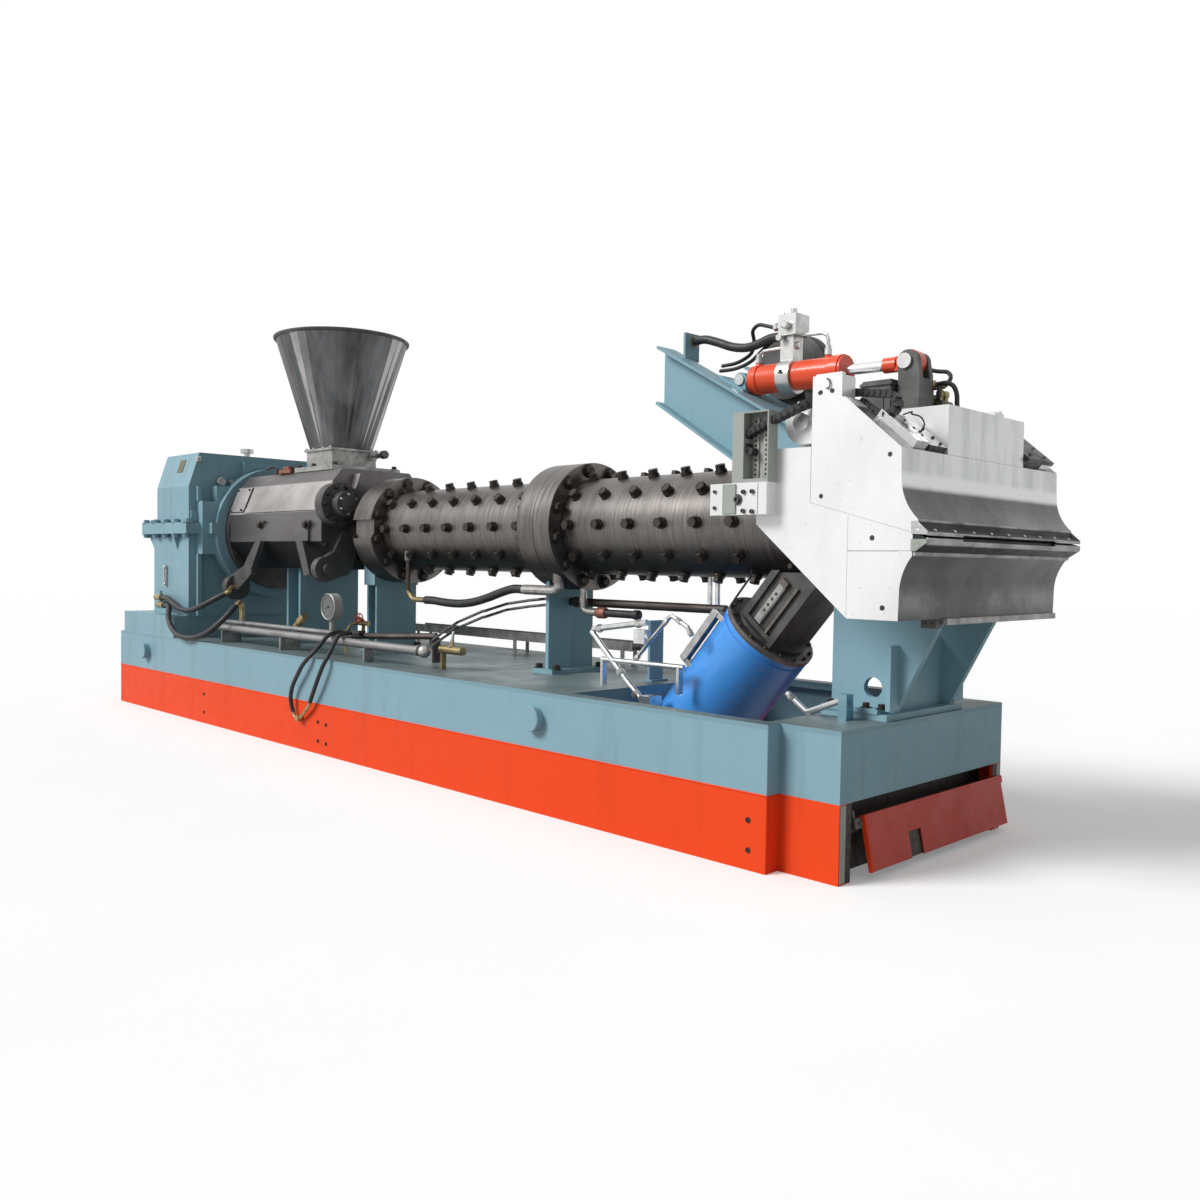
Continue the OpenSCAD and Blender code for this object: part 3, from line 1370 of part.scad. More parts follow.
hose_barrel = [[100, -200, 953], [180, -200, 953], [320, -200, 944], [460, -200, 944], [590, -200, 959],
               [720, -200, 988], [840, -200, 1022], [950, -200, 1046], [1046, -200, 1046]];
hose_cylinder = moved([[-311, 0, 222], [-251, 0, 222], [-171, 0, 196], [-91, 0, 166], [-11, 0, 152],
                       [59, 0, 160], [119, 0, 175], [185, 0, 175]], [ram_rear_x, ram_y, ram_rear_z]);

brass_pipe = [[rear_port_x, port_y, rear_port_z], [rear_port_x, port_y, 1010], [-66, port_y, 980],
              [-45, port_y, 960], [-15, port_y, 953], hose_barrel[0]];
hose_elbow = [hose_barrel[8], [1160, port_y, 1046], [1290, port_y, 1046], [1318, port_y, 1052],
              [port_x, port_y, 1068], [port_x, port_y, port_z]];
// Second water port under the middle flange, and its elbow forwards
return_elbow = moved([[-28, -60, 20], [-28, -60, -60], [-22, -60, -95], [0, -60, -112], [40, -60, -116],
                      [150, -60, -118]], [mid_flange_x1, 0, axis_z - flange_r]);
turning_joint = [hose_upper[8], ahead(hose_upper, 20), [-1950, -508, 972], [-1966, -492, 980],
                 [-1966, bar_y0 - 0.3, 980]];
upright_elbow = [hose_lower[12], ahead(hose_lower, 16), [-1743, -540, 876], [upright_x, rear_pipe_y, 872]];
joined_ends = [hose_left[13], ahead(hose_left, 24), [-462, -781, 202], [-440, -781, 200], [-412, -781, 206],
               [-385, -782, 222], ahead(hose_right, 40), hose_right[10]];

module hanging_ends() {
  // Joined end fittings of the two hanging hoses
  color("#b9a46a") {
    tube(joined_ends, 22, 10);
    y_rod(-428, 202, -798, 34, 19);
  }
}

module hose_fittings() {
  color("#b9a46a") {
    tube(brass_pipe, 34, 12);
    tube(hose_elbow, 56, 12);
    difference() {
      tube(return_elbow, 44, 12);
      x_rod(mid_flange_x0, mid_flange_l, flange_r, 0, axis_z);
    }
    // Gearbox cooler ports
    for (p = [hose_upper[0], hose_lower[0]]) {
      x_rod(p.x - 110, 110, 25, p.y, p.z);
      y_rod(p.x - 80, p.z, p.y, -gearbox_half_w - p.y, 21);
    }
    tube(turning_joint, 34, 10);
    // Upright on the rear pipe
    translate([upright_x, rear_pipe_y, rear_pipe_z + boss_h]) cylinder(h = 125, r = 17);
    tube(upright_elbow, 32, 10);
    // Bulkhead of the cylinder's hose
    x_rod(hose_bracket_x - 25, hose_cylinder[0].x - hose_bracket_x + 25, bulkhead_r, hose_cylinder[0].y,
          hose_cylinder[0].z);
    // Small cock beside the end of the near pipe
    x_rod(680, 201, 24, -500, 698);
    translate([781, -500, 700]) cylinder(h = 50, r = 12);
    box([690, -515, deck_z], [706, -485, 690]);
    translate([655, near_pipe_y, near_pipe_z]) sphere(r = 38);
    x_rod(614.3, 30, 20, near_pipe_y, near_pipe_z);
  }
}

module gearbox_hose_upper() { color("#26282a") tube(hose_upper, 40); }
module gearbox_hose_lower() { color("#26282a") tube(hose_lower, 40); }
module barrel_hose() { color("#3a3c3e") tube(hose_barrel, 50); }
module hanging_hose_left() { color("#1c1e20") tube(hose_left, 26); }
module hanging_hose_right() { color("#1c1e20") tube(hose_right, 26); }
module cylinder_hose() { color("#1c1e20") tube(hose_cylinder, 40); }

side_beams();
side_skirts();
cross_members();
deck_plate();
nose_frame();
cover_rail();
front_cover();
gearbox_plinth();
gearbox_lower();
gearbox_upper();
breather();
input_shaft();
bell_housing();
seal_ring();
feed_housing();
feed_stand();
roll_cover();
feed_door();
hopper_plate();
hopper_neck();
hopper();
barrel_rear();
barrel_front();
barrel_pins();
barrel_flanges();
barrel_stands();
head_body();
lower_jaw();
lower_die_bar();
head_stand();
side_brackets();
cable_box();
cylinder_beams();
beam_bridge();
accumulator();
pivot_pins();
ram_tube();
ram_rod();
ram_eye();
valve_block();
upper_jaw();
upper_die_bar();
top_block();
guide_bars();
ram_lugs();
ram_front_pin();
clamp_cylinder();
clamp_neck();
clamp_seat();
cooling_pipes();
pressure_gauge();
steel_tubes();
hose_fittings();
hanging_ends();
gearbox_hose_upper();
gearbox_hose_lower();
barrel_hose();
hanging_hose_left();
hanging_hose_right();
cylinder_hose();
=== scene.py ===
import bpy
import bmesh
import json
import math
from mathutils import Matrix, Vector


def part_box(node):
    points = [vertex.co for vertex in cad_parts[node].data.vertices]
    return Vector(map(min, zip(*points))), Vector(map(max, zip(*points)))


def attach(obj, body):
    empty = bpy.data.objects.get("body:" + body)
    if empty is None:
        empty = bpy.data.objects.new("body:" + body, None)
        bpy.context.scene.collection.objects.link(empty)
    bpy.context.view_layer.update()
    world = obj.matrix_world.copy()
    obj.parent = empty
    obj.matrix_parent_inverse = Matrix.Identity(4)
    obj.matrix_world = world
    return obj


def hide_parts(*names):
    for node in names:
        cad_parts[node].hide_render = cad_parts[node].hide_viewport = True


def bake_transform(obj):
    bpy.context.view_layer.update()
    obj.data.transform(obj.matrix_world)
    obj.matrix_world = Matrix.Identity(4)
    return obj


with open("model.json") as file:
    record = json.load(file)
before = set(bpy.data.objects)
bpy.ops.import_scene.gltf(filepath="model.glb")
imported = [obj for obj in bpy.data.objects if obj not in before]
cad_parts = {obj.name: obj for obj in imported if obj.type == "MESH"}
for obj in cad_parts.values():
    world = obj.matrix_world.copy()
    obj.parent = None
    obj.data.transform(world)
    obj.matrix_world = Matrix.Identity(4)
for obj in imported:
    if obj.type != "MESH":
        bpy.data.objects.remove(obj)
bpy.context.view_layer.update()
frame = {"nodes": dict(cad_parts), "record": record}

# ---------------- Camera
AZIMUTH = math.radians(45.343)
PITCH = math.radians(1.995)
ROLL = math.radians(.864)
CAMERA_PLACE = (5.5768, -4.0752, 1.2)


def make_camera():
    """Camera at eye level, looking along the machine from beside the die head."""
    level = math.cos(PITCH)
    back = Vector((math.sin(AZIMUTH) * level, -math.cos(AZIMUTH) * level, math.sin(PITCH)))
    right = back.cross(Vector((0, 0, 1))).normalized() * -1
    up = right.cross(-back)
    turned_right = right * math.cos(ROLL) + up * math.sin(ROLL)
    turned_up = up * math.cos(ROLL) - right * math.sin(ROLL)
    turn = Matrix((turned_right, turned_up, back)).transposed()
    camera = bpy.data.objects.new("camera", bpy.data.cameras.new("camera"))
    camera.data.lens = 31.66
    camera.data.sensor_width = 36
    camera.data.clip_end = 100
    camera.matrix_world = Matrix.Translation(CAMERA_PLACE) @ turn.to_4x4()
    bpy.context.collection.objects.link(camera)
    bpy.context.scene.camera = camera


make_camera()

# ---------------- Hose routes, in metres
HOSES = {
    "hanging_hose_left": (.026, [
        (-.339, -.525, .738), (-.339, -.57, .738), (-.322, -.622, .73), (-.3, -.675, .703),
        (-.284, -.722, .662), (-.286, -.768, .618), (-.322, -.79, .574), (-.368, -.797, .531),
        (-.415, -.797, .479), (-.46, -.795, .432), (-.496, -.793, .382), (-.515, -.791, .325),
        (-.51, -.787, .27), (-.495, -.782, .232)]),
    "hanging_hose_right": (.026, [
        (-.215, -.54, .738), (-.215, -.585, .738), (-.19, -.64, .728), (-.145, -.696, .694),
        (-.102, -.748, .65), (-.092, -.785, .598), (-.12, -.797, .545), (-.155, -.799, .49),
        (-.195, -.798, .43), (-.235, -.795, .372), (-.276, -.79, .318)]),
    "gearbox_hose_upper": (.04, [
        (-2.76, -.69, .88), (-2.69, -.69, .88), (-2.59, -.7, .868), (-2.48, -.71, .836),
        (-2.36, -.712, .806), (-2.22, -.704, .8), (-2.095, -.678, .832), (-1.99, -.63, .884),
        (-1.925, -.56, .935)]),
    "gearbox_hose_lower": (.04, [
        (-2.69, -.7, .822), (-2.62, -.7, .822), (-2.54, -.724, .806), (-2.45, -.766, .772),
        (-2.37, -.796, .722), (-2.29, -.8052, .664), (-2.18, -.8032, .62), (-2.06, -.788, .606),
        (-1.93, -.762, .622), (-1.82, -.724, .67), (-1.752, -.676, .736), (-1.725, -.62, .804),
        (-1.735, -.57, .852)]),
    "barrel_hose": (.05, [
        (.1, -.2, .953), (.18, -.2, .953), (.32, -.2, .944), (.46, -.2, .944),
        (.59, -.2, .959), (.72, -.2, .988), (.84, -.2, 1.022), (.95, -.2, 1.046),
        (1.046, -.2, 1.046)]),
    "cylinder_hose": (.04, [
        (2.32, -.25, 2.25), (2.38, -.25, 2.25), (2.46, -.25, 2.224), (2.54, -.25, 2.194),
        (2.62, -.25, 2.18), (2.69, -.25, 2.188), (2.75, -.25, 2.203), (2.816, -.25, 2.203)]),
}


def smooth_route(points, steps):
    """Points of a Catmull-Rom curve through the route."""
    route = [Vector(p) for p in points]
    route = [route[0] * 2 - route[1]] + route + [route[-1] * 2 - route[-2]]
    curve = []
    for a, b, c, d in zip(route, route[1:], route[2:], route[3:]):
        for i in range(steps):
            t = i / steps
            curve.append(.5 * (2 * b + (c - a) * t + (2 * a - 5 * b + 4 * c - d) * t * t
                                + (3 * b - a - 3 * c + d) * t * t * t))
    curve.append(route[-2])
    return curve


def route_length(points):
    return sum((b - a).length for a, b in zip(points, points[1:]))


# ---------------- Materials
TEAL = (.215, .37, .435)
ORANGE = (.84, .07, .014)
# Height where the orange skirts end and the teal band begins, and how sharply
SKIRT_TOP = .309
PAINT_EDGE = .001


def shade(colour, factor):
    return tuple(factor * channel for channel in colour)


class Surface:
    """One procedural material, built node by node."""

    def __init__(self, name, roughness=.5, metallic=0.0, coat=0.0, specular=.5):
        self.material = bpy.data.materials.new(name)
        self.material.use_nodes = True
        self.tree = self.material.node_tree
        self.shader = self.tree.nodes["Principled BSDF"].inputs
        self.shader["Roughness"].default_value = roughness
        self.shader["Metallic"].default_value = metallic
        self.shader["Coat Weight"].default_value = coat
        self.shader["Specular IOR Level"].default_value = specular
        self.place = self.tree.nodes.new("ShaderNodeTexCoord").outputs["Object"]

    def feed(self, socket, value):
        """Links a socket to what another node gives, or sets it to a plain value."""
        if hasattr(value, "is_linked"):
            self.tree.links.new(value, socket)
        else:
            socket.default_value = value

    def node(self, kind, **inputs):
        node = self.tree.nodes.new(kind)
        for name, value in inputs.items():
            self.feed(node.inputs[name], value)
        return node

    def noise(self, scale, detail=4.0, roughness=.6, stretch=(1, 1, 1)):
        place = self.node("ShaderNodeMapping", Vector=self.place, Scale=stretch).outputs["Vector"]
        return self.node("ShaderNodeTexNoise", Vector=place, Scale=scale, Detail=detail,
                         Roughness=roughness).outputs["Fac"]

    def remap(self, value, low, high, to_low=0.0, to_high=1.0):
        ends = {"From Min": low, "From Max": high, "To Min": to_low, "To Max": to_high}
        return self.node("ShaderNodeMapRange", Value=value, **ends).outputs["Result"]

    def mix(self, factor, first, second):
        node = self.tree.nodes.new("ShaderNodeMix")
        node.data_type = "RGBA"
        for index, value in ((0, factor), (6, first), (7, second)):
            self.feed(node.inputs[index], value + (1.0,) if isinstance(value, tuple) else value)
        return node.outputs[2]

    def tones(self, value, low, high, first, second, amount=1.0):
        """The first colour where the value is low, easing by the amount to the second where it is high."""
        return self.mix(self.remap(value, low, high, 0.0, amount), first, second)

    def math(self, operation, first, second=0.0):
        node = self.tree.nodes.new("ShaderNodeMath")
        node.operation = operation
        self.feed(node.inputs[0], first)
        self.feed(node.inputs[1], second)
        return node.outputs[0]

    def product(self, first, second):
        return self.math("MULTIPLY", first, second)

    def axis(self, name):
        return self.node("ShaderNodeSeparateXYZ", Vector=self.place).outputs[name]

    def facing(self, name):
        """Part of the piece's own normal along an axis: 1 on a face that looks that way."""
        normal = self.tree.nodes.new("ShaderNodeTexCoord").outputs["Normal"]
        return self.node("ShaderNodeSeparateXYZ", Vector=normal).outputs[name]

    def band(self, value, low, high, blur):
        """1 between low and high, easing to 0 over blur on both sides."""
        rising = self.remap(value, low - blur, low)
        return self.product(rising, self.remap(value, high, high + blur, 1.0, 0.0))

    def done(self, colour, sheen, height, strength, depth=.001):
        """Joins colour, roughness and bump to the shader; sheen says how to remap a value into roughness."""
        bump = self.node("ShaderNodeBump", Height=height, Strength=strength, Distance=depth)
        self.feed(self.shader["Base Color"], colour)
        self.feed(self.shader["Roughness"], self.remap(*sheen))
        self.feed(self.shader["Normal"], bump.outputs["Normal"])
        return self.material


def painted(name, colour, dirt, roughness=.45, coat=0.0, streaks=.35, faded=.12, below=None, specular=.3):
    """Machine enamel: slight fading, runs of dirt down the faces, orange-peel bump.
    The colour below, if there is one, is that of the skirts' height."""
    surface = Surface(name, roughness, coat=coat, specular=specular)
    light = tuple(min(1.0, c * 1.12 + .02) for c in colour)
    base = surface.tones(surface.noise(.9, 3), .35, .7, colour, light, faded * 4)
    if below:
        base = surface.tones(surface.axis("Z"), SKIRT_TOP, SKIRT_TOP - PAINT_EDGE, base, below)
    base = surface.tones(surface.noise(7, 5, .65, (1, 1, .09)), .52, .78, base, dirt, streaks)
    base = surface.tones(surface.noise(60, 4, .7), .68, .78, base, dirt, .45)
    sheen = (surface.noise(12, 4), .3, .75, roughness - .08, roughness + .15)
    return surface.done(base, sheen, surface.noise(220, 2), .06, .002)


def barrel_steel():
    """Turned steel: fine grain round the barrel, cloudy oil stains, and painted shade on the faces that look
    down.
    """
    surface = Surface("barrel_steel", .36, metallic=.85, specular=.4)
    dark, bright = (.105, .096, .09), (.215, .2, .19)
    fine = surface.noise(70.0, 5, .7, (1, .06, .06))
    base = surface.tones(fine, .3, .7, dark, bright)
    base = surface.tones(surface.noise(2.4, 6, .65), .48, .74, base, shade(dark, .5), .55)
    # Painted shade: much darker on the faces that look down
    base = surface.tones(surface.facing("Z"), -.15, -.7, base, shade(dark, .22), .75)
    return surface.done(base, (fine, .25, .75, .28, .48), fine, .07)


def feed_casting():
    """Feed housing: polished bevel plates over grey flanks, with painted shade, nearly black, underneath."""
    surface = Surface("feed_casting", .38, metallic=.75, specular=.4)
    cloud = surface.noise(3.0, 7, .66, (.5, 1, 1))
    flank = surface.tones(cloud, .35, .7, (.155, .148, .147), (.085, .08, .079))
    bevel = surface.tones(surface.noise(5.5, 5), .3, .74, (.43, .405, .4), (.27, .25, .245))
    height = surface.facing("Z")
    sideways = surface.math("ABSOLUTE", surface.facing("Y"))
    sloping = surface.product(surface.band(height, .25, .6, .05), surface.remap(sideways, .5, .6))
    base = surface.mix(sloping, flank, bevel)
    # Painted shade: nearly black on the faces that look down
    base = surface.tones(height, -.1, -.5, base, (.012, .012, .013), .85)
    return surface.done(base, (cloud, .3, .75, .28, .5), surface.noise(120, 4, .6, (.2, 1, 1)), .05)


def fitting_metal():
    """Yellow brass fittings; those at the big flange and on the near pipe's end are bare steel."""
    surface = Surface("fitting_metal", .36, metallic=.85)
    mottle = surface.noise(24, 5)
    brass = surface.tones(mottle, .35, .7, (.42, .34, .17), (.26, .2, .1))
    steel = surface.tones(mottle, .35, .7, (.46, .45, .43), (.22, .21, .2))
    along = surface.axis("X")
    at_flange = surface.band(along, .95, 1.8, .01)
    at_end = surface.product(surface.band(along, .55, .8, .01),
                             surface.band(surface.axis("Y"), -.66, -.552, .002))
    base = surface.mix(surface.math("MAXIMUM", at_flange, at_end), brass, steel)
    # Painted shade on the upright pipe of the elbow under the rear barrel, nearly black
    riser_shade = surface.product(surface.band(along, -.2, .12, .01), surface.remap(surface.axis("Z"), .985, 1.01))
    base = surface.mix(riser_shade, base, (.055, .05, .045))
    base = surface.tones(surface.noise(7, 4), .52, .72, base, (.06, .055, .045), .6)
    return surface.done(base, (mottle, .3, .7, .28, .52), surface.noise(160, 3), .08)


def pipe_steel():
    """Grey galvanised water pipes, rusty brown further in."""
    surface = Surface("pipe_steel", .45, metallic=.7)
    mottle = surface.noise(11, 6, .65, (.3, 1, 1))
    zinc = surface.tones(mottle, .36, .68, (.33, .33, .325), (.15, .15, .148))
    brown = surface.tones(mottle, .36, .68, (.085, .07, .062), (.035, .03, .028))
    base = surface.tones(surface.axis("Y"), -.49, -.5, brown, zinc)
    return surface.done(base, (mottle, .3, .7, .35, .6), surface.noise(150, 3), .08)


def tube_steel():
    """Bright hydraulic tubes at the pit, on teal posts; the pair along the deck is dull."""
    surface = Surface("tube_steel", .25, metallic=.9)
    mottle = surface.noise(20, 5)
    bright = surface.tones(mottle, .4, .7, (.72, .73, .74), (.45, .46, .47))
    dull = surface.tones(mottle, .4, .7, (.2, .2, .205), (.09, .09, .092))
    along = surface.axis("X")
    base = surface.tones(along, 1.3, 1.29, bright, dull)
    low = surface.remap(surface.axis("Z"), .692, .69)
    base = surface.mix(surface.product(surface.band(along, 3.249, 3.291, .0005), low), base, TEAL)
    return surface.done(base, (mottle, .3, .7, .18, .36), surface.noise(160, 3), .05)


def deck_paint():
    """Deck plates: dull teal-grey with oil on top, the base's teal on their edges."""
    surface = Surface("deck_paint", .5, specular=.35)
    cloud = surface.remap(surface.noise(2.2, 6, .65), .35, .7)
    top = surface.mix(cloud, (.17, .225, .235), (.085, .115, .12))
    top = surface.tones(surface.noise(6, 7, .7), .56, .7, top, (.045, .055, .055), .7)
    upward = surface.math("ABSOLUTE", surface.facing("Z"))
    base = surface.tones(upward, .4, .6, shade(TEAL, .9), top)
    return surface.done(base, (cloud, 0, 1, .38, .6), surface.noise(120, 3), .06, .002)


def ground_steel():
    """Bright ground plates of the die head. Their concave fronts are mottled and darkened by painted shade,
    on the lower jaw over dark oxidised steel, with a painted highlight and a smeared painted sheen where
    they turn.
    """
    surface = Surface("ground_steel", .34, metallic=.35, specular=.4)
    height = surface.axis("Z")
    cloud = surface.noise(2.6, 6, .6, (1, 1, .55))
    base = surface.tones(cloud, .38, .72, (.86, .865, .86), (.62, .63, .62))
    scratches = surface.noise(30, 6, .75, (.35, .12, 1.6))
    base = surface.tones(scratches, .6, .75, base, (.5, .51, .52), .28)
    base = surface.tones(surface.noise(38, 3, .5), .7, .76, base, (.32, .33, .33), .35)
    # Painted shade on the sloping top edges of the jaw, grey and mottled
    slope = surface.product(surface.band(surface.facing("Z"), .68, .84, .04),
                            surface.band(height, 1.6, 1.79, .01))
    slope_shade = surface.tones(surface.noise(16, 6), .4, .65, (.17, .175, .18), (.06, .062, .065))
    base = surface.mix(slope, base, slope_shade)
    # Fronts: runs down the steel; painted shade in the concave above the die, and below it painted shade
    # over dark oxidised steel; a painted highlight where the upper front turns and a smeared painted sheen
    # where the lower one turns
    ahead = surface.product(surface.remap(surface.facing("X"), .3, .6),
                            surface.remap(surface.axis("X"), 3.56, 3.62))
    ahead = surface.product(ahead, surface.math("SUBTRACT", 1.0, slope))
    runs = surface.noise(9, 7, .68, (1, 1, .22))
    front = surface.tones(runs, .42, .66, (.88, .89, .9), (.62, .63, .64))
    mottle = surface.noise(5.5, 9, .72, (1, 1, .6))
    # Painted shade: the lower concave over dark oxidised steel, the upper concave alone
    hollow_shade = surface.tones(mottle, .4, .62, (.055, .057, .058), (.01, .011, .012))
    upper = surface.tones(mottle, .36, .66, (.115, .117, .12), (.035, .036, .038))
    front = surface.mix(surface.band(height, 1.375, 1.478, .022), front, upper)
    # Painted highlight: a bright band where the upper front turns
    front = surface.mix(surface.band(height, 1.505, 1.53, .022), front, (.95, .96, .97))
    # Painted sheen, smeared, low on the lower front
    smear_and_sheen = surface.tones(surface.noise(3.2, 9, .75), .4, .62, (.2, .205, .205), (.05, .052, .052))
    low_front = surface.mix(surface.band(height, 1.06, 1.09, .055), hollow_shade, smear_and_sheen)
    front = surface.tones(height, 1.3, 1.299, front, low_front)
    grain = surface.noise(90, 4, .6, (.3, .1, 1.4))
    return surface.done(surface.mix(ahead, base, front), (cloud, .3, .8, .26, .46), grain, .05)


def die_bars():
    """Dark die bars stained with oil, with bright lips and edges, and painted shade, black, at the opening
    of the slot.
    """
    surface = Surface("die_bars", .45, metallic=.1, specular=.1)
    mottle = surface.noise(12, 7, .7, (1, .4, 1))
    dark = surface.tones(mottle, .4, .65, (.045, .046, .048), (.012, .012, .013))
    bright = surface.tones(mottle, .42, .66, (.62, .63, .64), (.2, .205, .21))
    away = surface.axis("X")
    height = surface.axis("Z")
    lip = surface.remap(away, 3.7505, 3.7525)
    edge = surface.math("MAXIMUM", surface.remap(height, 1.3635, 1.3645),
                        surface.remap(height, 1.2565, 1.2555))
    base = surface.mix(surface.math("MAXIMUM", lip, edge), dark, bright)
    # Painted shade: black at the opening of the slot
    slot_shade = surface.product(surface.band(away, 3.7425, 3.751, .0005),
                            surface.band(height, 1.299, 1.3225, .0005))
    base = surface.mix(slot_shade, base, (.004, .004, .004))
    return surface.done(base, (mottle, .3, .7, .32, .55), mottle, .08)


def stainless_sheet():
    """Rolled sheet of the hopper: upright smears of grime over a dark sheen, with two painted highlights
    where the sheet turns to the lamps.
    """
    surface = Surface("stainless_sheet", .42, metallic=.9)
    upright = surface.noise(6.5, 5, .6, (1, 1, .16))
    base = surface.tones(upright, .36, .66, (.072, .075, .078), (.2, .205, .21))
    smear_and_sheen = surface.noise(2.4, 4, .55, (1, 1, .5))
    base = surface.tones(smear_and_sheen, .46, .7, base, (.065, .065, .068), .6)
    base = surface.tones(surface.noise(55, 4, .7), .66, .8, base, (.33, .32, .31), .4)
    # Two upright painted highlights, reflections of the lamps where the sheet turns towards them
    left = surface.product(surface.band(surface.facing("X"), .22, .33, .05),
                           surface.remap(surface.facing("Y"), -.5, -.6))
    right = surface.product(surface.band(surface.facing("Y"), .36, .52, .06),
                            surface.remap(surface.facing("X"), .5, .6))
    lamp_glint = surface.product(surface.math("MAXIMUM", left, right), surface.remap(upright, .3, .55, .35, .85))
    base = surface.mix(lamp_glint, base, (.5, .48, .475))
    return surface.done(base, (upright, .3, .7, .32, .55), surface.noise(140, 3, .6, (1, 1, .2)), .05)


def plain_metal(name, colour, roughness=.35, metallic=.9, variation=.35, scale=18.0):
    """Small machined or cast pieces: mottled tone and uneven polish."""
    surface = Surface(name, roughness, metallic=metallic)
    mottle = surface.noise(scale, 5, .6)
    base = surface.tones(mottle, .35, .7, colour, shade(colour, 1 - variation))
    base = surface.tones(surface.noise(5, 4), .55, .75, base, shade(colour, .4), .4)
    return surface.done(base, (mottle, .3, .7, roughness - .08, roughness + .15), surface.noise(160, 3), .08)


def rubber():
    """Black hose rubber with a faint sheen and dust."""
    surface = Surface("black_rubber", .5, specular=.4)
    black = (.016, .017, .019)
    dusty = tuple(c * 2.4 + .03 for c in black)
    base = surface.tones(surface.noise(22, 5, .65), .45, .75, black, dusty, .4)
    return surface.done(base, (surface.noise(30, 4), .3, .7, .38, .62), surface.noise(260, 2), .12)


# Colour, roughness, metallic share, variation and scale of the mottle
PLAIN_METALS = {
    "dark_steel": ((.1, .098, .095), .5, .6, .45, 9),
    "machined_steel": ((.58, .58, .57), .3),
    "cast_silver": ((.4, .4, .385), .48, .6, .5, 14),
    "pin_steel": ((.055, .048, .043), .5, .7, .5, 40),
    "chrome": ((.78, .79, .8), .16, 1.0, .12),
    "bronze_plate": ((.16, .135, .07), .45, .5, .3, 30),
    "rust_steel": ((.2, .175, .16), .5, .6, .5, 14),
    "copper": ((.3, .12, .085), .5, .4, .4, 20),
}
# Colour, dirt, roughness, coat, streaks, fading, colour below the band, specular
PAINTS = {
    "teal_paint": (TEAL, (.1, .14, .15)),
    "orange_paint": (ORANGE, (.35, .04, .015), .45, 0, .22, .02, None, .12),
    "cross_paint": (shade(TEAL, .9), (.1, .12, .12), .5, 0, .35, .12, ORANGE),
    "cover_paint": ((.55, .045, .025), (.2, .03, .02), .42, 0, .3),
    "grey_sheet": ((.36, .38, .35), (.16, .17, .15), .5, 0, .2),
    "ram_orange": ((.8, .075, .018), (.3, .05, .03), .32, .3, .15, .03),
    "blue_paint": ((.068, .32, .82), (.03, .09, .25), .3, .35, .12, .03),
    "dial_white": ((.085, .09, .092), (.05, .05, .05), .3, .5, .2, .05),
    "red_plastic": ((.55, .03, .04), (.2, .02, .02), .35, .2, .1, .05),
}
MATERIALS = {
    "deck_paint": deck_paint(),
    "feed_steel": feed_casting(),
    "stainless": stainless_sheet(),
    "barrel_steel": barrel_steel(),
    "head_steel": ground_steel(),
    "die_steel": die_bars(),
    "brass": fitting_metal(),
    "pipe_steel": pipe_steel(),
    "tube_steel": tube_steel(),
    "black_rubber": rubber(),
    **{name: plain_metal(name, *facts) for name, facts in PLAIN_METALS.items()},
    **{name: painted(name, *facts) for name, facts in PAINTS.items()},
}

# Nodes with a finish of their own
NODE_MATERIAL = {"cross_members": "cross_paint", "cooling_pipes": "pipe_steel", "steel_tubes": "tube_steel",
                 "seal_ring": "dark_steel"}


def dress_frame():
    """Gives every CAD node the material of its slot, or its own finish."""
    for part in frame["record"]["subparts"]:
        node = frame["nodes"][part["node"]]
        node.data.materials.clear()
        node.data.materials.append(MATERIALS[NODE_MATERIAL.get(part["node"], part["material_slot"])])


dress_frame()


# ---------------- Stage and light
def seen_rays(tree):
    """1 on camera, glossy and transmission rays: what shows the backdrop and doesn't light the object."""
    path = tree.nodes.new("ShaderNodeLightPath")
    seen = path.outputs["Is Camera Ray"]
    for name in ("Is Glossy Ray", "Is Transmission Ray"):
        add = tree.nodes.new("ShaderNodeMath")
        add.operation = "MAXIMUM"
        tree.links.new(seen, add.inputs[0])
        tree.links.new(path.outputs[name], add.inputs[1])
        seen = add.outputs[0]
    return seen


def make_stage():
    bm = bmesh.new()
    bmesh.ops.create_grid(bm, x_segments=1, y_segments=1, size=30)
    mesh = bpy.data.meshes.new("floor")
    bm.to_mesh(mesh)
    bm.free()
    floor = bpy.data.objects.new("floor", mesh)
    bpy.context.collection.objects.link(floor)
    surface = Surface("floor", .9, specular=.1)
    seen = seen_rays(surface.tree)
    pale = surface.tones(surface.noise(.7, 4), .3, .7, (.86, .86, .86), (.88, .88, .88))
    surface.feed(surface.shader["Base Color"], surface.mix(seen, (.42, .42, .42), pale))
    surface.shader["Emission Color"].default_value = (1, 1, 1, 1)
    surface.feed(surface.shader["Emission Strength"], surface.product(seen, .2))
    floor.data.materials.append(surface.material)


def make_world():
    world = bpy.data.worlds.new("studio")
    bpy.context.scene.world = world
    world.use_nodes = True
    tree = world.node_tree
    background = tree.nodes["Background"]
    strength = tree.nodes.new("ShaderNodeMapRange")
    tree.links.new(seen_rays(tree), strength.inputs["Value"])
    strength.inputs["To Min"].default_value = .34
    strength.inputs["To Max"].default_value = 1.0
    background.inputs["Color"].default_value = (1, 1, 1, 1)
    tree.links.new(strength.outputs["Result"], background.inputs["Strength"])


def make_lamps():
    """One broad soft key from the near rear side, high up."""
    lamp = bpy.data.lights.new("key", "SUN")
    lamp.energy = 2.9
    lamp.angle = math.radians(25)
    key = bpy.data.objects.new("key", lamp)
    direction = Vector((-.38, -.7, .6))
    key.rotation_euler = direction.to_track_quat("Z", "Y").to_euler()
    bpy.context.collection.objects.link(key)


make_stage()
make_world()
make_lamps()
bpy.context.scene.view_settings.view_transform = "Standard"


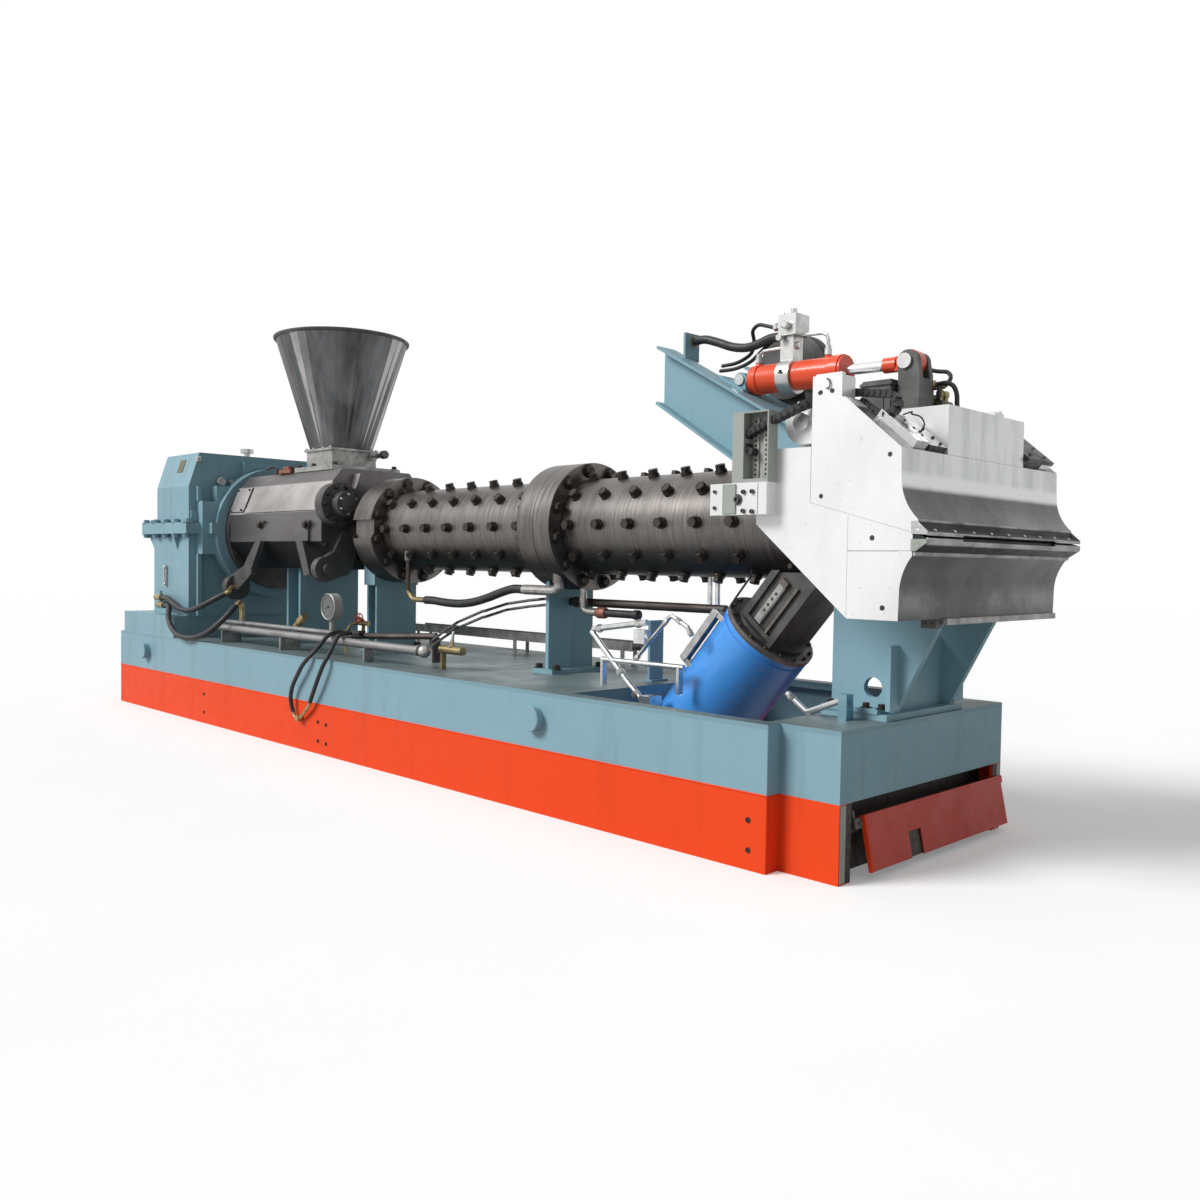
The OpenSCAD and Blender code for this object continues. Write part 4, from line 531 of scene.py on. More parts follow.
# ---------------- Shapes
X, Y, Z = Vector((1, 0, 0)), Vector((0, 1, 0)), Vector((0, 0, 1))
# Faces that meet at less than this are shaded as one
SMOOTH_ANGLE = math.radians(35)


def axes_round(axis):
    """The axis as a unit vector, and two directions square to it."""
    axis = Vector(axis).normalized()
    side = Z if abs(axis.z) < .9 else X
    side = (side - axis * side.dot(axis)).normalized()
    return axis, side, axis.cross(side)


def turned_circles(point, axis, profile):
    """Circles round an axis: profile lists (distance along the axis, radius)."""
    axis, side, across = axes_round(axis)
    for along, radius in profile:
        yield Vector(point) + axis * along, side, across, radius


def swept_circles(points, radius):
    """Circles along the points, carried along without twist."""
    side = None
    for before, point, after in zip(points[:1] + points, points, points[1:] + points[-1:]):
        along = (after - before).normalized()
        side = along.orthogonal() if side is None else side
        side = (side - along * side.dot(along)).normalized()
        yield point, side, along.cross(side), radius


def circle_of(centre, axis, radius, count, start=0.0):
    """Points round a circle."""
    _, side, across = axes_round(axis)
    for k in range(count):
        a = start + 2 * math.pi * k / count
        yield Vector(centre) + radius * (math.cos(a) * side + math.sin(a) * across)


class Piece:
    """One small piece, filled form by form inside a with block. It then rides on its body."""

    def __init__(self, name, material, body="machine", smooth=True):
        self.name = name
        self.material = material
        self.body = body
        self.smooth = smooth
        self.bm = bmesh.new()

    def __enter__(self):
        return self

    def __exit__(self, kind, error, trace):
        if kind is None:
            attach(self.made(), self.body)

    def made(self):
        """The finished object, with its material."""
        bmesh.ops.recalc_face_normals(self.bm, faces=self.bm.faces)
        mesh = bpy.data.meshes.new(self.name)
        self.bm.to_mesh(mesh)
        self.bm.free()
        if self.smooth:
            mesh.shade_smooth()
            mesh.set_sharp_from_angle(angle=SMOOTH_ANGLE)
        piece = bpy.data.objects.new(self.name, mesh)
        bpy.context.collection.objects.link(piece)
        piece.data.materials.append(MATERIALS[self.material])
        return piece

    def mirror(self):
        """Adds the mirror image, on the other side of the screw axis, of all there is so far."""
        forms = self.bm.verts[:] + self.bm.edges[:] + self.bm.faces[:]
        image = bmesh.ops.duplicate(self.bm, geom=forms)["geom"]
        verts = [item for item in image if isinstance(item, bmesh.types.BMVert)]
        bmesh.ops.transform(self.bm, matrix=Matrix.Diagonal((1, -1, 1, 1)), verts=verts)

    def skin(self, circles, sides, closed=False):
        """Skin over circles, capped at its ends, or with its last circle joined to its first."""
        turns = [2 * math.pi * k / sides for k in range(sides)]
        new = self.bm.verts.new
        rings = [[new(centre + radius * (math.cos(a) * side + math.sin(a) * across)) for a in turns]
                 for centre, side, across, radius in circles]
        for lower, upper in zip(rings, rings[1:] + rings[:1] if closed else rings[1:]):
            for k in range(sides):
                n = (k + 1) % sides
                self.bm.faces.new((lower[k], lower[n], upper[n], upper[k]))
        if not closed:
            self.bm.faces.new(list(reversed(rings[0])))
            self.bm.faces.new(rings[-1])

    def flat(self, corners):
        self.bm.faces.new([self.bm.verts.new(corner) for corner in corners])

    def turned(self, point, axis, profile, sides=24):
        self.skin(turned_circles(point, axis, profile), sides)

    def stepped(self, point, axis, steps, tip=(), sides=24):
        """Turned form in steps, each the distance it reaches and its radius, then the tip's profile."""
        starts = [0] + [reach for reach, _ in steps]
        profile = [place for start, (reach, radius) in zip(starts, steps)
                   for place in ((start, radius), (reach, radius))]
        self.turned(point, axis, profile + list(tip), sides)

    def ring(self, point, axis, profile, sides=48):
        """Turned ring, whose profile is a closed loop."""
        self.skin(turned_circles(point, axis, profile), sides, closed=True)

    def tube(self, points, radius, sides=12, smooth=4):
        """Round tube through the points; smooth is the number of steps that ease each stretch."""
        route = smooth_route(points, smooth) if smooth else [Vector(p) for p in points]
        self.skin(swept_circles(route, radius), sides)

    def box(self, low, high, bevel=.0015, turn=None):
        """Box with its edges broken; turn places it in another frame."""
        made = bmesh.ops.create_cube(self.bm, size=1)["verts"]
        for vert in made:
            vert.co = Vector([low[k] + (vert.co[k] + .5) * (high[k] - low[k]) for k in range(3)])
        if bevel:
            edges = list({edge for vert in made for edge in vert.link_edges})
            made = bmesh.ops.bevel(self.bm, geom=edges, offset=bevel, segments=2, affect="EDGES")["verts"]
        if turn:
            bmesh.ops.transform(self.bm, matrix=turn, verts=made)

    def outline(self, points, axis, start, depth, bevel):
        """Flat outline pushed along X or Y: points list the two other coordinates."""
        ends = []
        for along in (start, start + depth):
            corners = [(p[0], along, p[1]) if axis == Y else (along, p[0], p[1]) for p in points]
            ends.append([self.bm.verts.new(corner) for corner in corners])
        first, last = ends
        faces = [self.bm.faces.new(first), self.bm.faces.new(list(reversed(last)))]
        for k in range(len(points)):
            n = (k + 1) % len(points)
            faces.append(self.bm.faces.new((first[n], first[k], last[k], last[n])))
        edges = list({edge for face in faces for edge in face.edges})
        bmesh.ops.bevel(self.bm, geom=edges, offset=bevel, segments=2, affect="EDGES")

    def bolt(self, point, axis, across):
        """Hexagon head with a chamfered top, on a washer."""
        rim, washer, corner = across * .85, across * .12, across * .577
        self.turned(point, axis, [(0, rim), (washer * .7, rim), (washer, across * .78)], 20)
        self.turned(point, axis, [(washer, corner), (across * .6284, corner),
                                  (across * .74, corner * .82)], 6)

    def cap_screw(self, point, axis, across):
        """Round socket head with its dished top."""
        r = across / 2
        top = across * .65
        self.turned(point, axis, [(0, r), (across * .55, r), (top, r * .86), (top, r * .5),
                                  (across * .4, r * .42)], 18)


# ---------------- Hoses
def make_hoses():
    for name, (diameter, route) in HOSES.items():
        points = smooth_route(route, 3)
        piece = Piece(name + "_rubber", "black_rubber")
        piece.skin(swept_circles(points, diameter / 2), 16)
        hose = piece.made()
        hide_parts(name)
        hanging = name.startswith("hanging")
        facts = dict(exit=route[0], length=round(route_length(points), 3), diameter=diameter, path=points,
                     stiffness="stiff", lay="hanging" if hanging else "loose",
                     far_end="fitting" if name == "hanging_hose_left" else "object")
        if name == "hanging_hose_left":
            facts["with_pieces"] = ["hanging_ends"]
        if name == "cylinder_hose":
            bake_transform(hose)
        else:
            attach(hose, "machine")


# ---------------- Barrel
AXIS = Z * 1.4
REAR_FLANGE_L = .21
MIDDLE_FLANGE_L = .26
BOLT_CIRCLE_R = .31
GROOVE_R = .2615


def barrel_bolts():
    """Rings of bolts on both faces of the rear and the middle flange."""
    low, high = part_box("barrel_flanges")
    rear_front = low[0] + REAR_FLANGE_L
    middle_rear = high[0] - MIDDLE_FLANGE_L
    with Piece("barrel_flange_bolts", "pin_steel") as piece:
        for x, direction in ((low[0], -X), (rear_front, X), (middle_rear, -X), (high[0], X)):
            for point in circle_of(AXIS + X * x, X, BOLT_CIRCLE_R, 12, math.radians(12)):
                piece.bolt(point, direction, .046)


def barrel_seams():
    """Fine turned grooves beside the flanges and near the head."""
    inner = GROOVE_R - .003
    profile = [(-.004, inner), (-.004, GROOVE_R), (.004, GROOVE_R), (.004, inner)]
    with Piece("barrel_seams", "pin_steel") as piece:
        for x in (-.305, 1.1465, 1.4135, 2.985):
            piece.ring(AXIS + X * x, X, profile, 96)


# ---------------- Gearbox
def gearbox_bolts():
    """Bolts over and under the split flange, and one on each side of the bell."""
    flange_y, flange_top, flange_foot, size = .676, 1.464, 1.38, .042
    with Piece("gearbox_bolts", "teal_paint") as piece:
        for k in range(5):
            x = -3.1 + .19 * k
            piece.bolt((x, flange_y, flange_top), Z, size)
            piece.bolt((x, flange_y, flange_foot), -Z, size)
        for k in range(4):
            piece.bolt((-3.105, .62 - .14 * k, flange_top), Z, size)
        piece.bolt((-2.31, flange_y, flange_top), Z, size)
        piece.bolt((-2.25, .47, 1.529), X, .03)
        piece.mirror()


def gearbox_details():
    glass_x = -2.762
    with Piece("oil_sight_glass", "machined_steel") as piece:
        piece.box((-2.778, -.662, .969), (-2.746, -.65, 1.133), .003)
        for z in (.985, 1.118):
            piece.stepped((glass_x, -.662, z), -Y, [(.012, .014)], [(.016, .01)], 16)
        piece.tube([(glass_x, -.672, .985), (glass_x, -.672, 1.118)], .007, 10, 0)

    # Bare plate on the chamfer of the upper housing
    lean = Vector((0, .083, .26)).normalized()
    out = Vector((0, -.26, .083)).normalized()
    turn = Matrix((X, lean, out)).transposed().to_4x4()
    turn.translation = Vector((0, -.65, 1.742)) + lean * .172
    with Piece("bare_plate", "bronze_plate") as piece:
        piece.box((-2.657, -.052, 0), (-2.557, .052, .003), .001, turn)
        for x in (-2.648, -2.566):
            for d in (-.043, .043):
                piece.turned(turn @ Vector((x, d, .003)), out, [(0, .004), (.002, .003)], 10)

    front = -2.359
    with Piece("gearbox_gauges", "machined_steel") as piece:
        for y, z, r in ((-.416, 1.786, .033), (-.34, 1.791, .015)):
            piece.stepped((front, y, z), X,
                          [(.03, r * .5), (.058, r)], [(.062, r * .9), (.062, r * .8), (.058, r * .78)], 28)
        for y, z, r, rim in ((-.575, 1.948, .022, .018), (.3, 1.9, .03, .025)):
            piece.stepped((front, y, z), X, [(.02, r)], [(.024, rim)], 20)

    # Plates on both sides, a block beside the bell and a round lid on top
    with Piece("gearbox_covers", "teal_paint") as piece:
        piece.box((-2.96, .65, .8), (-2.86, .662, .93), .003)
        piece.mirror()
        piece.box((-2.372, -.64, 1.468), (-2.335, -.55, 1.56), .004)
        piece.stepped((-2.76, .16, 2.016), Z, [(.012, .09)], [(.016, .085)], 32)


# ---------------- Feed housing
ROLL_Y, ROLL_Z = -.334, 1.567


def feed_details():
    with Piece("feed_housing_bolts", "pin_steel") as piece:
        for x in (-2.105, -1.93):
            for y, z in ((.4355, 1.556), (.367, 1.708)):
                piece.cap_screw((x, y, z), (0, .926, .378), .016)
        for x, y in ((-1.42, .24), (-1.19, .255), (-.93, .24)):
            piece.bolt((x, y, 1.853), Z, .03)
        for y in (.22, .4):
            piece.bolt((-.78, y, 1.3), X, .03)
        piece.mirror()
        for point in circle_of((-.69, ROLL_Y, ROLL_Z), X, .124, 10, .3):
            piece.bolt(point, X, .026)
        for x, z in ((-1.6, 1.44), (-.95, 1.433)):
            piece.bolt((x, -.444, z), -Y, .04)

    hub = Vector((-.6, ROLL_Y, ROLL_Z))
    with Piece("roll_hub_screws", "machined_steel") as piece:
        for point in circle_of(hub, X, .064, 6):
            piece.cap_screw(point, X, .018)
        piece.ring(hub, X, [(0, .02), (0, .032), (.006, .032), (.006, .02)], 24)

    with Piece("feed_top_block", "copper") as piece:
        piece.box((-1.648, -.288, 1.82), (-1.468, -.222, 1.85), .004)
        piece.box((-1.6, -.278, 1.85), (-1.51, -.232, 1.872), .004)

    with Piece("feed_top_fitting", "dark_steel") as piece:
        piece.stepped((-1.74, -.25, 1.82), Z, [(.02, .022), (.05, .014)], [(.055, .01)], 16)
        piece.tube([(-1.74, -.25, 1.865), (-1.76, -.275, 1.88), (-1.8, -.3, 1.862)], .008)

    # Round knob on a short stem at the neck's head side
    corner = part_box("hopper_neck")[1]
    seat = (corner[0] - .001, corner[1] - .04, corner[2] - .036)
    with Piece("neck_knob", "dark_steel") as piece:
        piece.stepped(seat, X, [(.045, .012), (.08, .03)], [(.088, .022)], 20)

    with Piece("feed_end_rib", "feed_steel") as piece:
        piece.outline([(-.186, 1.784), (-.168, 1.784), (-.205, 1.679), (-.223, 1.679)], X, -.78, .09, .002)


def hopper_details():
    """Rolled rim of the hopper, and the bolts of its neck."""
    low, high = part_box("hopper")
    centre = Vector(((low[0] + high[0]) / 2, 0, high[2] - .0062))
    r = (high[0] - low[0]) / 2
    with Piece("hopper_rim", "dark_steel") as piece:
        piece.ring(centre, Z, [(-.018, r - .004), (-.018, r + .003), (-.01, r + .009), (0, r + .01),
                               (.006, r + .004), (.006, r - .01), (-.004, r - .01)], 96)

    with Piece("hopper_neck_bolts", "machined_steel") as piece:
        for x in (-1.415, -1.315, -1.185, -1.085):
            piece.bolt((x, .187, 1.99), Z, .014)
        piece.mirror()


# ---------------- Gauge and valves
def pressure_dial():
    centre = Vector((-.48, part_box("pressure_gauge")[0][1], .893))
    with Piece("gauge_bezel", "cast_silver") as piece:
        piece.ring(centre, -Y, [(-.004, .08), (-.004, .0868), (.004, .0868), (.007, .082), (.004, .078),
                                (.001, .078)], 64)

    with Piece("gauge_face", "dial_white") as piece:
        piece.stepped(centre + Y * .001, -Y, [(.0025, .0785)], [(.0025, .072)], 64)

    front = centre - Y * .002
    with Piece("gauge_needle_and_marks", "pin_steel", smooth=False) as piece:
        for k in range(31):
            a = math.radians(-135 + 9 * k)
            out = Vector((math.sin(a), 0, math.cos(a)))
            across = Vector((math.cos(a), 0, -math.sin(a)))
            inner, half = (.056, .0013) if k % 5 == 0 else (.061, .0007)
            corners = ((inner, -half), (inner, half), (.068, half), (.068, -half))
            piece.flat([front + out * r + across * w - Y * .0006 for r, w in corners])
        needle = Vector((math.sin(-2.0), 0, math.cos(-2.0)))
        across = Vector((needle.z, 0, -needle.x)) * .003
        piece.flat([front + tip - Y * .002 for tip in (needle * .052, across, needle * -.016, -across)])
        piece.stepped(front, -Y, [(.004, .006)], [(.005, .004)], 16)


def valves():
    red = Vector((-.357, -.4, .823))
    axis = Vector((.3, -.9, .3))
    wheel_r = .034
    with Piece("red_valve_wheel", "red_plastic") as piece:
        inner = wheel_r - .004
        piece.ring(red, axis, [(-.004, inner), (0, wheel_r), (.004, inner), (0, wheel_r - .009)], 32)
        for spoke_end in circle_of(red, axis, wheel_r - .005, 3):
            piece.tube([red, spoke_end], .0035, 8, 0)
        piece.stepped(red - axis * .008, axis, [(.016, .009)], sides=12)

    with Piece("red_valve_body", "brass") as piece:
        piece.tube([red, red + Vector((-.012, .04, -.02)), red + Vector((-.03, .055, -.1))], .012)
        piece.tube([red + Vector((-.075, .04, -.035)), red + Vector((.05, .04, -.035))], .016, 12, 0)
        piece.tube([red + Vector((-.07, .04, -.035)), (-.46, -.4, .77), (-.47, -.42, .7), (-.47, -.42, .59)],
                   .01)

    foot = Vector((-.983, -.5, .742))
    way = (Vector((-.88, -.5, .805)) - foot).normalized()
    with Piece("pipe_nipple", "brass") as piece:
        piece.stepped(foot, way, [(.03, .02), (.042, .026), (.06, .02)], sides=18)
        piece.stepped(foot + way * .06, way, [(.04, .03)], [(.044, .024), (.075, .024)], 6)

    with Piece("cock_handle", "machined_steel") as piece:
        piece.box((.77, -.508, .75), (.792, -.492, .757), .002)
        piece.outline([(.772, .752), (.79, .752), (.8, .8), (.786, .806)], Y, -.506, .012, .002)
        piece.box((.77, -.525, .716), (.792, -.475, .722), .002)


# ---------------- Base
def base_details():
    skirt_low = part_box("side_skirts")[0]
    skirt_half_w = -skirt_low[1]
    nose = -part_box("nose_frame")[0][1]
    beam_half_w = .756
    step_x0, step_x1 = 3.1521, 3.154

    with Piece("skirt_screws", "pin_steel") as piece:
        profile = [(0, .011), (.006, .011), (.006, .006), (.003, .005)]
        for x, z in ((-1.846, .211), (-1.846, .08), (-.235, .197), (-.14, .19), (-.234, .08), (-.139, .074),
                     (3.065, .2), (3.068, .081)):
            piece.turned((x, skirt_half_w - .002, z), Y, profile, 16)
        piece.mirror()

    with Piece("lifting_boss_caps", "teal_paint") as piece:
        for x in (-2.88, 1.795):
            piece.turned((x, .79, .455), Y, [(-.004, .056), (-.002, .061), (.009, .061), (.0115, .0575),
                                              (.0115, .05)], 40)
        piece.mirror()

    # Closing plates where the base narrows towards the nose
    for name, material, z0, z1 in (("beam_end_plates", "teal_paint", .315, .582),
                                   ("skirt_end_plates", "orange_paint", .004, .305)):
        with Piece(name, material) as piece:
            piece.box((step_x0, nose, z0), (step_x1, beam_half_w, z1), .0005)
            piece.mirror()

    # Painted shade: dark panels behind the gap beside the front cover and behind its notch
    with Piece("nose_shade_panels", "pin_steel") as piece:
        piece.box((3.33, .5, .004), (3.334, nose - .018, .306), .0005)
        piece.mirror()
        piece.box((3.334, -.51, .004), (3.338, .51, .306), .0005)

    # Light strips at the skirts' front ends, and the dark gaps beside them
    strip = nose - .042
    with Piece("skirt_front_strips", "grey_sheet") as piece:
        piece.box((3.4275, strip, .006), (3.43, nose - .004, .303), .0008)
        piece.mirror()
    with Piece("skirt_front_gaps", "pin_steel") as piece:
        piece.box((3.427, nose - .0805, .004), (3.429, strip, .305), .0005)
        piece.mirror()

    # Weld run under the upper band
    with Piece("skirt_weld", "orange_paint") as piece:
        piece.tube([(skirt_low[0] + .004, .757, .3075), (3.15, .757, .3075)], .0035, 8, 0)
        piece.mirror()


def cover_details():
    """Rolled top edge, end strip, latch and notch plate of the leaning front cover."""
    cover = Matrix.Translation((3.428, 0, .24)) @ Matrix.Rotation(math.radians(-11.7), 4, "Y")
    with Piece("cover_top_roll", "cover_paint") as piece:
        piece.tube([cover @ Vector((.008, y, .001)) for y in (-.521, .659)], .0075, 14, 0)
    with Piece("cover_end_strip", "orange_paint") as piece:
        piece.box((-.003, -.5265, -.2115), (.017, -.5165, .006), .0015, cover)
    with Piece("cover_latch", "dark_steel") as piece:
        piece.box((-.012, -.58, -.04), (.004, -.528, 0), .001, cover)
        piece.box((-.03, -.572, -.03), (-.006, -.556, .03), .001, cover)
        piece.cap_screw(cover @ Vector((.004, -.546, -.02)), cover.to_3x3() @ X, .013)
    with Piece("cover_notch_plate", "pin_steel") as piece:
        piece.box((-.008, -.225, -.21), (-.002, -.095, -.095), .0005, cover)


def stand_bolts():
    """Foot bolts of the barrel, feed and head stands."""
    foot_top, head_foot_top = .61, .63
    with Piece("stand_bolts", "pin_steel") as piece:
        for x in (-.655, -.509, 1.142, 1.288, -1.695, -1.475):
            piece.bolt((x, .165, foot_top), Z, .036)
        for x in (3.13, 3.2, 3.3, 3.37):
            piece.bolt((x, .295, head_foot_top), Z, .028)
        piece.mirror()


# ---------------- Head
HALF_W = .675


def head_details():
    half_w = -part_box("head_body")[0][1]
    head_plugs = ((3.537, 1.307), (3.585, 1.054), (3.061, 1.605), (3.18, 1.2))
    jaw_plugs = ((3.315, 1.466), (3.304, 1.856), (3.355, 1.858), (3.602, 1.606))
    for name, body, r, places in (("head_side_plugs", "machine", .01, head_plugs),
                                  ("jaw_side_plugs", "upper_jaw", .009, jaw_plugs)):
        with Piece(name, "pin_steel", body) as piece:
            for x, z in places:
                piece.stepped((x, half_w - .004, z), Y, [(.0048, r)], [(.0048, .004)], 18)
            piece.mirror()

    with Piece("head_seams", "machined_steel") as piece:
        inner, outer = half_w - .002, half_w + .0006
        piece.box((3.4335, inner, 1.012), (3.435, outer, 1.388), 0)
        piece.box((3.437, inner, 1.258), (3.64, outer, 1.2595), 0)
        piece.mirror()

    with Piece("cheek_ledges", "head_steel", "upper_jaw") as piece:
        piece.box((3.275, .643, 1.917), (3.392, .667, 1.927), .002)
        piece.mirror()


def lower_jaw_details():
    """Foot plate under the front of the lower jaw, with the bolted block at its near end."""
    with Piece("lower_jaw_foot_plate", "cast_silver") as piece:
        piece.box((3.56, -.33, .985), (3.662, .673, 1.0095), .002)
    with Piece("lower_jaw_foot_block", "dark_steel") as piece:
        piece.box((3.578, -.382, .972), (3.64, -.331, 1.0095), .002)
        for x in (3.594, 3.624):
            piece.cap_screw((x, -.382, .99), -Y, .012)


def die_details():
    """Screws of the upper die bar, and the plates that close the die at both ends."""
    out = (1, 0, 1.2)
    with Piece("upper_die_screws", "machined_steel", "upper_jaw") as piece:
        for k in range(9):
            y = -.592 + .148 * k
            piece.turned((3.739, y, 1.3335), out, [(-.003, .007), (.003, .007), (.005, .004)], 12)

    upper = [(3.694, 1.32), (3.757, 1.317), (3.757, 1.33), (3.716, 1.366), (3.694, 1.366)]
    lower = [(3.694, 1.302), (3.757, 1.302), (3.757, 1.288), (3.712, 1.258), (3.694, 1.258)]
    for name, material, body, points in (("die_end_wedges", "machined_steel", "upper_jaw", upper),
                                         ("lower_die_end_wedges", "grey_sheet", "machine", lower)):
        x, z = (sum(place) / len(points) for place in zip(*points))
        with Piece(name, material, body) as piece:
            piece.outline(points, Y, HALF_W, .006, .0012)
            piece.stepped((x - .002, HALF_W + .006, z), Y, [(.001, .009)], [(.001, .006), (.0005, .005)], 20)
            piece.mirror()


def bracket_details():
    half_w = -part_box("side_brackets")[0][1]
    with Piece("bracket_screws", "dark_steel") as piece:
        piece.turned((2.971, half_w, 1.46), Y, [(-.001, .022), (.004, .022), (.004, .013), (.014, .013),
                                                 (.014, .007), (.006, .006)], 24)
        for x, z in ((3, 1.49), (3.043, 1.49), (3, 1.415), (3.043, 1.412)):
            piece.cap_screw((x, half_w, z), Y, .018)
        for z in (1.43, 1.495):
            piece.cap_screw((2.855, half_w, z), Y, .014)
        piece.mirror()

    with Piece("bracket_plates", "grey_sheet") as piece:
        piece.box((2.9, half_w - .001, 1.404), (2.962, half_w + .006, 1.522), .0015)
        for x in (2.8935, 3.0665):
            piece.box((x, half_w - .001, 1.402), (x + .003, half_w + .0012, 1.524), 0)
        piece.mirror()


CHAIN_ROUTE = [(3.022, -.7, 1.648), (2.995, -.7, 1.658), (2.972, -.7, 1.69), (2.986, -.7, 1.716),
               (3.042, -.7, 1.741), (3.137, -.698, 1.776), (3.212, -.67, 1.812), (3.262, -.61, 1.846),
               (3.3, -.562, 1.862), (3.38, -.56, 1.862), (3.466, -.56, 1.85), (3.54, -.56, 1.836),
               (3.562, -.56, 1.802), (3.536, -.56, 1.77), (3.49, -.56, 1.772), (3.45, -.56, 1.796),
               (3.412, -.56, 1.826)]
LINK_PITCH = .025


def drag_chain():
    """Cable chain from the channel over to the jaw: one link at every LINK_PITCH of its route."""
    line = smooth_route(CHAIN_ROUTE, 8)
    piece = Piece("drag_chain", "black_rubber")
    walked, due = 0.0, .012
    for a, b in zip(line, line[1:]):
        step = (b - a).length
        along = (b - a).normalized()
        across = (Y - along * along.y).normalized()
        while walked + step >= due:
            turn = Matrix((along, across, along.cross(across))).transposed().to_4x4()
            turn.translation = a + (b - a) * ((due - walked) / step)
            piece.box((-.012, -.021, -.014), (.012, .021, .014), .002, turn)
            piece.box((-.0145, -.024, -.01), (-.0075, .024, .01), .001, turn)
            piece.stepped(turn @ Vector((-.011, -.0255, 0)), across, [(.051, .0045)], sides=8)
            due += LINK_PITCH
        walked += step
    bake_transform(piece.made())


def cable_channel():
    """Two rails on each channel, with rows of holes."""
    low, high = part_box("cable_box")
    with Piece("channel_rails", "cast_silver") as piece:
        for x in (3, 3.05):
            piece.box((x, .681, low[2] + .02), (x + .03, .687, high[2] - .02), .001)
        piece.mirror()

    with Piece("channel_rail_holes", "pin_steel") as piece:
        for x in (3.015, 3.065):
            for k in range(12):
                piece.stepped((x, .6865, low[2] + .035 + .019 * k), Y, [(.001, .0055)], sides=10)
        piece.mirror()


# ---------------- Upper jaw
def guide_bar_details():
    """Screws, joints and polished faces of the guide bars, in the frame of their slope."""
    top = Vector((3.482, 0, 1.77))
    way = (Vector((3.647, 0, 1.629)) - top).normalized()
    out = Vector((-way.z, 0, way.x))
    turn = Matrix((way, Y, out)).transposed().to_4x4()
    turn.translation = top

    with Piece("guide_bar_screws", "pin_steel", "upper_jaw") as piece:
        for d, y in ((.055, .47), (.105, .47), (.15, .47), (.095, .385), (.15, .385), (.19, .385)):
            piece.cap_screw(turn @ Vector((d, y, .0215)), out, .012)
        piece.mirror()

    # Dark joint between the two bars, painted shade on the front of the inner one, and a line on the outer
    # one
    with Piece("guide_bar_joints_and_shade", "pin_steel", "upper_jaw") as piece:
        piece.box((.012, .4805, .0005), (.205, .4965, .02), .001, turn)
        piece.box((.2055, .351, .0006), (.2085, .48, .0212), .0005, turn)
        piece.box((.012, .5375, .0302), (.203, .54, .0312), 0, turn)
        piece.mirror()

    with Piece("guide_bar_faces", "chrome", "upper_jaw") as piece:
        piece.box((.0115, .4985, .03), (.2035, .5815, .0308), .0003, turn)
        piece.mirror()

    # Dark bolted plate over the bars on the far side
    with Piece("far_guide_cover", "dark_steel", "upper_jaw") as piece:
        piece.box((.004, .346, .0225), (.207, .6, .042), .0015, turn)
        for d in (.04, .11, .175):
            for y in (.4, .54):
                piece.cap_screw(turn @ Vector((d, y, .042)), out, .014)

    # Thin sensor cable in a loop over the bars
    with Piece("sensor_cable", "pin_steel", "upper_jaw") as piece:
        piece.tube([turn @ Vector((.02, -.44, .03)), turn @ Vector((.045, -.445, .06)), (3.553, -.44, 1.779),
                    (3.58, -.425, 1.768), (3.597, -.425, 1.738), (3.585, -.435, 1.706),
                    turn @ Vector((.115, -.44, .026))], .003, 8, 6)


